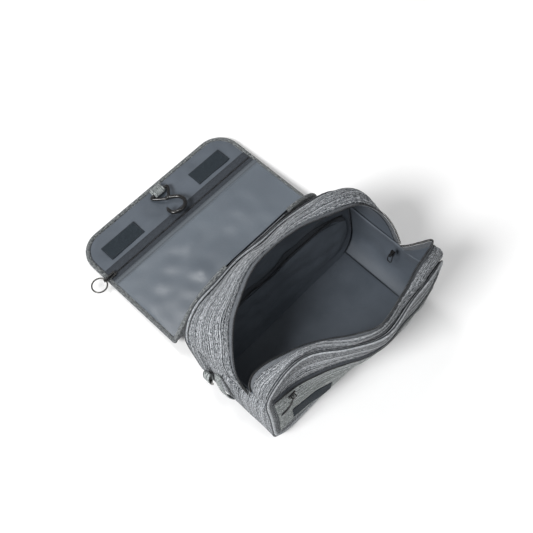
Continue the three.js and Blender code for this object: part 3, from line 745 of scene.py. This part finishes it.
for shell in TALL:
    body, inward = f"{shell}_shell", INWARD[shell]
    points, u, s = band_strip(shell, None, TAPE_WIDE - 1.5, 230, 56)
    puff = np.sin(np.pi * s) ** 0.7 * (0.5 + 0.5 * np.sin(np.pi * u))
    bulge = BULGE[shell] * np.sin(np.pi * s) * smooth(0.5, 0.74, u) * (1 - smooth(0.9, 1.0, u))
    from_mouth = (1 - s) * (band_width(shell, u) - TAPE_WIDE)
    groove = sum(np.exp(-(((from_mouth - d) / 1.1) ** 2)) for d in GROOVES) * smooth(0, 0.06, s)
    slack = field(points, 40, 31) * 0.8 + field(points, 17, 32) * 0.25
    out = normals(points) * -inward
    soft = points + out * (puff * (0.8 + 0.9 * slack) + bulge - 0.8 * groove)[..., None]
    band = Shape().sheet(soft, *sorted((0, inward * FABRIC)))
    for distance in (TAPE_WIDE - 1.5 + SEAM_IN, TAPE_WIDE + 4.5):
        band.stitches(*outward_path(shell, distance), slot=1)
    band.make(f"{shell}_band_cloth", [CLOTH, THREAD], body, "heather_cloth", [f"{shell}_gusset"])
    lining, _, _ = band_strip(shell, None, 5.5, 200, 12)
    Shape().sheet(lining, *sorted((inward * 2.3, inward * 2.9))).make(
        f"{shell}_band_lining", LINER, body, "smooth_lining", [f"{shell}_gusset_lining"]
    )
    tape, _, _ = band_strip(shell, TAPE_WIDE + 2, 0, 230, 6)
    Shape().sheet(tape, *sorted((inward * 1.0, inward * 1.6))).make(
        f"{shell}_zip_tape_cloth", TAPE_GREY, body, "zip_tape", [f"{shell}_zip_tape"]
    )
    _, out = outward_path(shell, 0.2)
    along = np.linspace(0.002, 0.998, 260)
    tape_edge = band_at(shell, along, np.ones(260))
    push = tape_edge - band_at(shell, along, np.full(260, 0.9))
    push /= np.linalg.norm(push, axis=-1, keepdims=True)
    Shape().coil(tape_edge + push * 0.9, out).make(
        f"{shell}_zip_coil", TEETH, body, "zip_teeth", [f"{shell}_zip_teeth"]
    )


# ---- Base and the side walls below the zip ----
def base_slab(half_x, half_y, low, high, rounding):
    """A flat slab with round edges, for the base and its lining."""
    u, v = grid(60, 30, dense=True)
    x, y = half_x * (2 * u - 1), half_y * (2 * v - 1)
    edge = np.minimum(half_x - np.abs(x), half_y - np.abs(y))
    middle = np.stack([x, y, np.full_like(x, (low + high) / 2)], -1)
    half = (high - low) / 2 * rounded(edge, rounding, 0.15)
    return middle, -half, half


FLAT = HALF - CORNER_LOW
under = Shape().sheet(*base_slab(FLAT, DEPTH / 2, 0, BASE_THICK, 2.5))
under.make("base_cloth", CLOTH, "base", "heather_cloth", ["base_panel", "base_board"])
floor_lining = Shape().sheet(*base_slab(FLAT + 6, 45.2, 5.4, 6.1, 2))
floor_lining.make("base_floor_lining", LINER, "base", "smooth_lining", ["base_lining"])


def wall_depth(shell, x, z):
    return wall_at(shell, x, np.clip(wall_share(shell, x, z), 0, 1))[..., 1]


def side_wall(side, u, v):
    """A side wall: a quarter turn up from the base, then up between both panels, higher at the front."""
    top = SIDE_TOP + SIDE_CLIMB[side] * np.maximum(1 - 4 * u, 0)
    a = np.minimum(v / SIDE_TURN, 1) * math.pi / 2
    rise = np.maximum((v - SIDE_TURN) / (1 - SIDE_TURN), 0) * (top - CORNER_LOW)
    z = 0.9 + (CORNER_LOW - 0.9) * (1 - np.cos(a)) + rise
    lean = 1.5 * smooth(55, 78, z)
    curl = SIDE_CURL * smooth(0.87, 1.0, v) ** 1.5
    x = side * (FLAT + (HALF - 0.6 - FLAT) * np.sin(a) - lean - curl)
    edge = np.full_like(z, side * SIDE_EDGE)
    front, back = wall_depth("front", edge, z) + 0.5, wall_depth("back", edge, z) - 0.5
    return np.stack([x, front + (back - front) * u, z], -1)


for name, side in (("left", -1), ("right", 1)):
    for part, shell, u0, u1 in (("front", "front", 0, GUSSET_MIDDLE), ("back", "back", GUSSET_MIDDLE, 1)):
        u, v = grid(40, 60)
        p = side_wall(side, u0 + (u1 - u0) * u, v)
        across = u0 + (u1 - u0) * u
        z = p[..., 2]
        slack = field(p, 34, 41 + side, (1, 1, 0.6)) * smooth(12, 35, z) * (1 - smooth(62, 74, z))
        p[..., 0] += side * np.sin(np.pi * across) * slack * 0.9
        wall = Shape().sheet(p, -0.5, 0.5, across=True)
        wall.sheet(p - np.array([side * 1.6, 0, 0]), -0.2, 0.2, slot=1)
        outwards = np.array([side * 1.0, 0, 0])
        wall.stitches(p[:, SIDE_SEAM_ROW] + outwards * 0.5, outwards, slot=2)
        wall.tube(p[:, -1] - outwards * 0.5, 1.1, slot=1)
        middle = float(side_wall(side, np.array(GUSSET_MIDDLE), np.array(1.0))[1]) * MM
        end = -0.034 if shell == "front" else 0.05
        wall.make(
            f"{name}_{part}_side_wall", [CLOTH, LINER, THREAD], slot="heather_cloth",
            replaces=[f"{name}_lower_gusset"],
            blend=("base", f"{shell}_shell", (0, middle, 0.04), (0, end, 0.04)),
        )

# ---- Flap: top section, fold and cover ----
TOP_TURN = math.atan2(FOLD[0] - RIM[0], RIM[1] - FOLD[1])
COVER_LEN = FLAP_END[0] - FOLD[0]
COVER_TURN = math.atan2(FOLD[1] - COVER_DROP - FLAP_END[1], COVER_LEN)
TOP_LEN = math.hypot(FOLD[0] - RIM[0], RIM[1] - FOLD[1]) - 9


def on_top(p):
    """From the top section's own axes (length along +y, lining up) to the row frame."""
    y, z = turned(p, TOP_TURN - math.pi / 2)
    return np.stack([p[..., 0], y + RIM[0], z + RIM[1] - 1.5], -1)


def on_cover(p):
    """From the cover section's own axes (length along +y, lining up) to the row frame."""
    p = np.asarray(p, float)
    y, z = turned(p, -COVER_TURN)
    return np.stack([p[..., 0], y + FOLD[0], z + FOLD[1] - COVER_DROP], -1)


COVER_UP = np.array([0, math.sin(COVER_TURN), math.cos(COVER_TURN)])


def flat_grid(x0, x1, y0, y1, z, nu, nv):
    u, v = grid(nu, nv)
    return np.stack([x0 + (x1 - x0) * u, y0 + (y1 - y0) * v, np.full_like(u, z)], -1)


def bezier(p0, p1, p2, p3, t):
    t = t[..., None]
    return (1 - t) ** 3 * p0 + 3 * (1 - t) ** 2 * t * p1 + 3 * (1 - t) * t**2 * p2 + t**3 * p3


def fold_grid(x0, x1, nu, nv):
    """The turn between the top section and the cover, along their undersides."""
    extra = 3.0  # how far it reaches onto both
    start = on_top(np.array([0, TOP_LEN - extra, 0.0]))
    end = on_cover(np.array([0, 2 + extra, 0.0]))
    down = on_top(np.array([0, TOP_LEN - extra + 1, 0.0])) - start
    away = on_cover(np.array([0, 3 + extra, 0.0])) - end
    u, v = grid(nu, nv)
    p = bezier(start, start + down * 9, end - away * 6, end, v)
    p[..., 0] = x0 + (x1 - x0) * u
    return p


def top_half(y):
    """Half the top section's width at a distance from the rim. Its corners are rounded like the panel's."""
    corner = corner_cut(np.maximum(CORNER_TOP + 2 - y, 0), CORNER_TOP)
    return FLAP_HALF - corner - TOP_TAPER * np.maximum(1 - y / TOP_LEN, 0)


top_cloth = Shape()
for near, far, slot in ((0, FABRIC, 0), (2.7, FLAP_THICK, 1)):
    u, v = grid(90, 60)
    y = 0.6 + (TOP_LEN - 0.6) * v**1.3
    p = np.stack([(top_half(y) - FLAP_INSET) * (2 * u - 1), y, np.zeros_like(u)], -1)
    p[..., 2] += np.sin(np.pi * v) * 0.7 * field(p, 60, 51)
    top_cloth.sheet(on_top(p), near, far, slot, across=True)
y = 2.4 + (TOP_LEN - 1.4) * np.linspace(0, 1, 90) ** 1.6
for side in (-1, 1):
    edge = on_top(np.stack([side * (top_half(y) - FLAP_INSET), y, np.full(90, 1.7)], -1))
    top_cloth.sweep(edge, ring(2.3, 2.4, 14, 2.6), 2, up=(0, 1, 0.1))
for y in (4.0, 8.0):
    reach = float(top_half(np.array(y))) - 6
    seam = on_top(np.stack([np.linspace(-reach, reach, 90), np.full(90, y), np.full(90, FLAP_THICK)], -1))
    top_cloth.stitches(seam, np.array([0, 0.99, 0.14]), slot=3)
top_section = top_cloth.make(
    "flap_top_cloth", [CLOTH, LINER, BINDING, DARK_THREAD_AND_SEAM_SHADOW], slot="heather_cloth", move=False,
    replaces=["flap_top_outer", "flap_top_foam", "flap_top_lining"],
    blend=("back_shell", "flap_top", (0, RIM[0] * MM, 0.1205), (0, (RIM[0] + 1.4) * MM, 0.109)),
)
FOLD_HALF = FLAP_HALF - FLAP_INSET
fold = Shape()
for near, far, slot in ((0, FABRIC, 0), (1.9, 2.5, 1)):
    fold.sheet(fold_grid(-FOLD_HALF, FOLD_HALF, 60, 24), near, far, slot, across=True)
fold_up = normals(fold_grid(-1, 1, 2, 24))[1]
for x in (-FOLD_HALF, FOLD_HALF):
    spine = fold_grid(x, x, 1, 24)[0] + fold_up * 1.5
    fold.sweep(spine, ring(2.3, 2.3, 14, 2.6), 2, up=fold_up)
fold_start = on_top(np.array([0, TOP_LEN - 3, 0.0])) * MM
fold_end = on_cover(np.array([0, 5.0, 0.0])) * MM
fold.make(
    "flap_fold_cloth", [CLOTH, LINER, BINDING], slot="heather_cloth", move=False,
    blend=("flap_top", "flap_cover", tuple(fold_start), tuple(fold_end)),
)


def cover_width(y, inset):
    end, r = COVER_LEN - inset, FLAP_CORNER - inset
    return FLAP_HALF - inset - corner_cut(np.maximum(y - (end - r), 0), r)


def cover_grid(inset, waves=0.0):
    """The cover's rounded outline as a grid, with its rows closer together at the free edge."""
    start = 2
    u, v = grid(130, 100)
    v = 1 - (1 - v) ** 1.25
    y = start + (COVER_LEN - inset - 0.02 - start) * v
    x = cover_width(y, inset) * (2 * u - 1)
    p = np.stack([x, y, np.zeros_like(x)], -1)
    if waves:
        fade = smooth(0, 0.1, np.minimum(u, 1 - u)) * smooth(0, 0.06, 1 - v)
        fade *= 0.25 + 0.75 * smooth(ZIP_Y - FOLD[0] + 12, ZIP_Y - FOLD[0] + 24, y)
        p[..., 2] += waves * fade * (0.7 * field(p, 52, 61) + 0.3 * field(p, 24, 62))
    return p


def cover_edge(inset, start, z, n=150):
    """The cover's outline from the fold on the left, round the free edge, to the fold on the right."""
    half, end, r = FLAP_HALF - inset, COVER_LEN - inset, FLAP_CORNER - inset
    path = [(half, start)]
    for cx, first in ((half - r, 0), (-half + r, 90)):
        turns = [math.radians(first + 10 * k) for k in range(10)]
        path += [(cx + r * math.cos(a), end - r + r * math.sin(a)) for a in turns]
    path.append((-half, start))
    path = np.array([(x, y, z) for x, y in path])[::-1]
    length = np.linalg.norm(np.diff(path, axis=0), axis=-1).sum()
    return on_cover(resample(path, length / n))


def on_flap(shape, name, materials, slot, *nodes):
    """Makes a piece of the cover section, which stands for the given CAD nodes."""
    return shape.make(name, materials, "flap_cover", slot, nodes, move=False)


FACE = FLAP_THICK + 0.35
outer = Shape().sheet(on_cover(cover_grid(1.4)), 0.02, FABRIC)
cover = on_flap(outer, "flap_cover_cloth", CLOTH, "heather_cloth", "flap_outer", "flap_foam")
inner = Shape().sheet(on_cover(cover_grid(1.6, waves=1.0)), 2.6, FLAP_THICK)
on_flap(inner, "flap_cover_lining", LINER, "smooth_lining", "flap_lining")
binding = Shape().sweep(cover_edge(2.1, 3, 1.75), ring(3.1, 2.45, 16, 2.8), up=COVER_UP)
for z, out in ((4.1, COVER_UP), (-0.6, -COVER_UP)):
    binding.stitches(cover_edge(4.2, 4, z, 170), out, slot=1)
on_flap(binding, "flap_edge_binding", [BINDING, DARK_THREAD_AND_SEAM_SHADOW], "edge_binding", "flap_binding")

zip_line = ZIP_Y - FOLD[0]
window_near, window_far = WINDOW_Y[0] - FOLD[0], WINDOW_Y[1] - FOLD[0]


def cover_strip(half_width, y0, y1, z, thick, crown=0.0):
    """A flat strip across the cover, with softened long edges and, where asked, a crown."""
    p = flat_grid(-half_width, half_width, y0, y1, z, 120, 6)
    _, v = grid(120, 6)
    p[..., 2] += crown * np.sin(np.pi * v)
    full = rounded(np.minimum(v, 1 - v) * (y1 - y0), 0.8, 0.25)
    return on_cover(p), -thick / 2 * full, thick / 2 * full


def cover_line(half_width, y, z, n=100):
    """A straight line across the cover."""
    return on_cover(np.stack([np.linspace(-half_width, half_width, n), np.full(n, y), np.full(n, z)], -1))


for name, (x0, x1) in TOUCH_PATCH.items():
    y0, y1 = (y - FOLD[0] for y in TOUCH_PATCH_Y)
    u, v = grid(50, 24)
    edge = np.minimum(np.minimum(u, 1 - u) * (x1 - x0), np.minimum(v, 1 - v) * (y1 - y0))
    half = 0.62 * rounded(edge, 0.9, 0.3)
    patch = Shape().sheet(on_cover(flat_grid(x0, x1, y0, y1, FACE + 0.6, 50, 24)), -half, half)
    xs, ys, seam_z = (x0 + 1.3, x1 - 1.3), (y0 + 1.3, y1 - 1.3), FACE + 1.2
    loop = [(xs[i], ys[j], seam_z) for i, j in ((0, 0), (1, 0), (1, 1), (0, 1), (0, 0))]
    patch.stitches(on_cover(resample(loop, 1.0)), COVER_UP, slot=1, pitch=2.6, length=1.8)
    on_flap(patch, f"flap_fastener_{name}", [VELCRO, DARK_THREAD_AND_SEAM_SHADOW], "touch_fastener", f"flap_velcro_{name}")

tape = Shape().sheet(*cover_strip(FLAP_ZIP_HALF, zip_line + 0.8, zip_line + 11, FACE + 0.35, 0.7))
tape.stitches(cover_line(111, zip_line + 9.3, FACE + 0.75), COVER_UP, slot=1)
on_flap(tape, "flap_zip_tape_far", [TAPE, DARK_THREAD_AND_SEAM_SHADOW], "smooth_lining", "flap_zip_tape_outer")
tape = Shape().sheet(*cover_strip(FLAP_ZIP_HALF, zip_line - 8.4, zip_line - 0.8, FACE + 0.35, 0.7))
on_flap(tape, "flap_zip_tape_near", TAPE, "smooth_lining", "flap_zip_tape_inner")
coil = Shape().coil(cover_line(113, zip_line, FACE + 0.75, 60), COVER_UP)
on_flap(coil, "flap_zip_coil", TEETH, "zip_teeth", "flap_zip_teeth")
strip = Shape().sheet(*cover_strip(114.5, window_far - 0.5, window_far + 6.2, FACE + 0.75, 1.5, crown=0.5))
for y in (window_far + 1.1, window_far + 4.8):
    strip.stitches(cover_line(112, y, FACE + 1.75), COVER_UP, slot=1, radius=0.24)
on_flap(strip, "window_edging_strip", [STRIP, DARK_THREAD_AND_SEAM_SHADOW], "heather_cloth", "window_strip")
film = flat_grid(-114.2, 114.2, window_near + 1, window_far + 3.5, FACE + 1.0, 120, 60)
u, v = grid(120, 60)
loose = np.sin(np.pi * u) ** 0.4 * np.sin(np.pi * v) ** 0.5
film[..., 2] += loose * (0.9 + 0.55 * field(film, 60, 81) + 0.25 * field(film, 26, 82))
window = on_flap(Shape().sheet(on_cover(film), -0.18, 0.18), "clear_window", FILM, "clear_film", "pvc_window")

# ---- Webbing loop, hook, pull ring and the flap's slider ----
HOOK = {"x": 2.0, "y": 263 - FOLD[0], "z": FACE + 3.4, "lift": math.radians(9)}


def hook_place(points):
    """From the hook's own axes to the row frame: it leans up from the cover."""
    p = np.array(points, float)
    y, z = turned(p, -HOOK["lift"])
    return on_cover(np.stack([p[:, 0] + HOOK["x"], y + HOOK["y"] - 3, z + HOOK["z"]], -1))


a = full_turn(48)
loop = Shape()
hoop = np.stack([np.full(48, HOOK["x"]), HOOK["y"] + 6.2 * np.cos(a), HOOK["z"] + 2.7 * np.sin(a)], -1)
loop.sweep(on_cover(hoop), ring(0.62, 7.6, 20, 3.5), closed=True, up=(1, 0, 0))
for x in (-5.6, 5.6):
    across, up = np.full(9, HOOK["x"] + x), np.full(9, HOOK["z"] + 3.2)
    line = np.stack([across, HOOK["y"] + np.linspace(1.5, 5.2, 9), up], -1)
    loop.stitches(on_cover(line), COVER_UP, slot=1, pitch=2.0, length=1.4)
on_flap(loop, "hook_webbing", [PALE_CLOTH, THREAD], "heather_cloth", "hook_loop")
bar = [(-12, 0), (-4, 0), (4, 0), (12, 0), (11, -4), (6, -11), (1, -16), (-5, -11), (-11, -4)]
curl = [(1, -14), (6, -19), (11, -25), (12, -33), (7, -40), (-1, -42), (-9, -38), (-11, -31), (-9, -25)]
bar, curl = ([(x, y, 0) for x, y in points] for points in (bar, curl))
hook = Shape().tube(hook_place(curve(bar, 90, closed=True)), 1.9, closed=True, sides=14)
taper = np.concatenate([np.ones(72), np.cos(np.linspace(0, 1.45, 9))])
hook.tube(hook_place(curve(curl, 80)), 2.4, sides=16, scale=taper)
knuckle = hook_place([(1, -12.5, 0), (1, -13.5, 0), (1.2, -15, 0), (2.2, -16.5, 0)])
hook.tube(knuckle, 2.5, sides=16, scale=[0.75, 1, 1, 0.75])
hook.make("hook_wire", BLACK_GLOSS, "hook", "black_gloss", ["hanging_hook"], move=False)
LUG = (-120.6, zip_line, FACE + 3.6)
a = full_turn(96)
ring_path = np.stack([LUG[0] - 9 * (1 - np.cos(a)), LUG[1] + 9 * np.sin(a), np.full(96, LUG[2])], -1)
Shape().tube(on_cover(ring_path), 0.95, closed=True, sides=12).make(
    "flap_pull_ring", GUNMETAL, "flap_ring", "gunmetal", ["pull_ring"], move=False
)


# ---- Front pocket: its sheet, zip, fasteners and puller ----
def front_strip(x0, x1, q0, q1, depth, thick, nu, nv, edge=0.8):
    """A flat piece sewn on the front wall, between shares q0 and q1 of its height, with round edges."""
    u, v = grid(nu, nv, q0, q1)
    p = rumple(wall_at("front", x0 + (x1 - x0) * u, v))
    w = (v - q0) / (q1 - q0)
    rim = np.minimum(np.minimum(w, 1 - w) * (q1 - q0) * TALL["front"], np.minimum(u, 1 - u) * (x1 - x0))
    full = rounded(rim, edge, 0.2)
    middle = p + normals(p) * (depth + thick / 2)
    return middle, -thick / 2 * full, thick / 2 * full


def front_line(half_width, q, depth):
    """A level line on the front wall at share q of its height, with the outward normals."""
    x = np.linspace(-half_width, half_width, 120)
    p = wall_at("front", x, np.full(120, q))
    out = loop_normals("front", p)
    return p + out * (depth + DENTING * dents(p))[:, None], out


pocket = Shape().sheet(*front_strip(-110, 110, 0.13, 0.662, 0.75, 0.9, 110, 44, edge=1.2))
for q in (0.645, 0.61):
    pocket.stitches(*front_line(108, q, 1.75), slot=1)
pocket = pocket.make(
    "front_pocket_sheet", [PALE_CLOTH, THREAD], "front_shell", "heather_cloth", ["front_pocket_panel"]
)
tape = Shape().sheet(*front_strip(-111, 111, 0.65, 0.716, 0.45, 0.7, 110, 8))
tape.make("front_pocket_tape", TAPE, "front_shell", "zip_tape", ["front_pocket_zip_tape"])
Shape().coil(*front_line(110, FRONT_ZIP, 1.7)).make(
    "front_pocket_coil", TEETH, "front_shell", "zip_teeth", ["front_pocket_zip_teeth"]
)
for name, (x0, x1) in FRONT_PATCH.items():
    patch = Shape().sheet(*front_strip(x0, x1, 0.2, 0.36, 1.75, 1.2, 50, 20))
    patch.make(f"front_fastener_{name}", VELCRO, "front_shell", "touch_fastener", [f"front_velcro_{name}"])

slider_at = wall_at("front", np.array(-92.0), np.array(FRONT_ZIP)) + np.array([0, -8.0, 0])
puller = [
    (0, 0.2, 3), (0, 0, 0), (0, 0, -3), (-2, -0.6, -8), (-7, -1.6, -12), (-14, -2, -13.5), (-19, -2, -13),
]
taper = [0.7] * 10 + [1] * 36 + [0.9, 0.8, 0.6, 0.4, 0.2]
Shape().tube(curve(slider_at + np.array(puller), 50), 1.05, sides=12, scale=taper).make(
    "front_zip_puller", BLACK_METAL, "front_puller", "black_metal", ["front_pocket_puller"], move=False
)

# ---- Inside pocket on the back wall ----
p = dented_wall("back", 10, 90, 30, 0.02, 0.5, amount=1.1)
pocket = Shape().sheet(p, 6.3, 6.9).make(
    "inside_pocket_sheet", LINER, "back_shell", "smooth_lining", ["inner_pocket"]
)
p = dented_wall("back", 10, 90, 8, 0.51, 0.64, amount=1.1)
Shape().sheet(p, 6.3, 6.9).make(
    "inside_pocket_tape", TAPE, "back_shell", "zip_tape", ["inner_pocket_zip_tape"]
)
x = np.linspace(-103, 103, 120)
line = wall_at("back", x, np.full(120, 0.57))
Shape().coil(line + np.array([0, -7.9, 0]), np.array([0, -1.0, 0.2]), radius=0.8).make(
    "inside_pocket_coil", TEETH, "back_shell", "zip_teeth", ["inner_pocket_zip_teeth"]
)

# ---- Left side: strap, tab and D-ring ----
SIDE_X = -HALF - 0.95
strap_points = [(0.6, 33, 67), (-2.4, 30, 60), (-3.6, 24, 48), (-2.6, 19, 38), (0.8, 16, 30)]
strap_path = curve(np.array(strap_points) + np.array([SIDE_X - 1.2, -4.1, 1.8]), 60)
strap_across = np.array([0, -0.92, 0.4])
strap = Shape().sweep(strap_path, ring(0.85, 4.9, 20, 3.2), up=strap_across)
for shift in (-3.4, 3.4):
    strap.stitches(strap_path + strap_across * shift + np.array([-0.8, 0, 0]), np.array([-1, 0, 0]), slot=1)
strap.make("side_strap", [PALE_CLOTH, THREAD], "base", "heather_cloth", ["side_handle"], move=False)
TAB = np.array([-HALF - 0.35 - 4.4, 42.5, 42.0])
a = full_turn(40)
tab_path = TAB + np.stack([2.9 * np.cos(a), np.zeros(40), 12.4 * np.sin(a)], -1)
Shape().sweep(tab_path, ring(0.5, 4.5, 16, 3.4), closed=True, up=(0, 1, 0)).make(
    "ring_tab", PALE_CLOTH, "base", "heather_cloth", ["handle_tab"], move=False
)
half_turn = np.linspace(0, math.pi, 25)
ring_top = TAB - np.array([0, 0, 10.0])
d_path = [ring_top + np.array([0, 6.5 * math.cos(t), -8.45 * math.sin(t)]) for t in half_turn]
d_path += [ring_top + np.array([0, y, 0]) for y in np.linspace(-5.6, 5.6, 9)]
Shape().tube(np.array(d_path), 0.85, closed=True, sides=12).make(
    "side_d_ring", GUNMETAL, "side_ring", "gunmetal", ["d_ring"], move=False
)

# ---- Mouth zip pullers, and the CAD sliders ----
for name, side in (("left", -1), ("right", 1)):
    eye = np.array([side * 106.0, -8, 63])
    loop = [(0, 0.3), (1.6, -0.2), (2.3, -3), (2.6, -14), (0, -17), (-2.6, -14), (-2.3, -3), (-1.6, -0.2)]
    path = curve([eye + np.array([0, y, z]) for y, z in loop], 70, closed=True)
    Shape().tube(path, 0.62, closed=True).make(
        f"mouth_zip_puller_{name}", BLACK_METAL, f"mouth_puller_{name}", "black_metal",
        [f"main_puller_{name}"], move=False,
    )
for node in (
    "flap_zip_slider", "front_pocket_slider", "inner_pocket_slider", "main_slider_left", "main_slider_right"
):
    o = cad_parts[node]
    o.data.materials.clear()
    o.data.materials.append(BLACK_GLOSS)
    bevel = o.modifiers.new("soft_edges", "BEVEL")
    bevel.width, bevel.segments, bevel.limit_method = 0.0003, 2, "ANGLE"

# ---- Floor, lights and camera ----
bpy.ops.mesh.primitive_plane_add(size=12, location=(0, 0, 0))
floor = bpy.context.object
floor.name = "studio_floor"
paper = Nodes("pale_paper", Roughness=0.9, Specular_IOR_Level=0.1)
tone = paper.noise(paper.place((1, 1, 1), from_object=True), detail=3, scale=6.0)
floor.data.materials.append(paper.finish(paper.ramp(tone, [(0.3, grey(0.86)), (0.7, grey(0.9))])))

world = bpy.data.worlds.new("studio")
bpy.context.scene.world = world
world.use_nodes = True
background = world.node_tree.nodes["Background"].inputs
background["Color"].default_value = grey(1.0)
background["Strength"].default_value = 0.36

TARGET = Vector((0.0233, 0.1005, 0.0))


def soft_light(name, place, size, power):
    lamp = bpy.data.lights.new(name, "AREA")
    lamp.shape, lamp.size, lamp.energy = "DISK", size, power
    o = bpy.data.objects.new(name, lamp)
    o.location = TARGET + Vector(place)
    o.rotation_mode = "QUATERNION"
    o.rotation_quaternion = (TARGET - o.location).to_track_quat("-Z", "Y")
    bpy.context.scene.collection.objects.link(o)


soft_light("key", (-2.9, 0.15, 2.8), 1.7, 172)
soft_light("fill", (0.5, -1.7, 2.2), 1.8, 11)
soft_light("sheen", (0.02, 0.62, 1.6), 0.4, 6)

azimuth, elevation, distance = math.radians(-46.08), math.radians(64.75), 0.9384
level = math.cos(elevation)
back = Vector((math.sin(azimuth) * level, -math.cos(azimuth) * level, math.sin(elevation)))
camera = bpy.data.objects.new("camera", bpy.data.cameras.new("camera"))
camera.data.sensor_width, camera.data.lens = 36, 54.3
camera.location = TARGET + back * distance
camera.rotation_mode = "QUATERNION"
camera.rotation_quaternion = (-back).to_track_quat("-Z", "Y")
bpy.context.scene.collection.objects.link(camera)
bpy.context.scene.camera = camera
bpy.context.scene.view_settings.view_transform = "Standard"
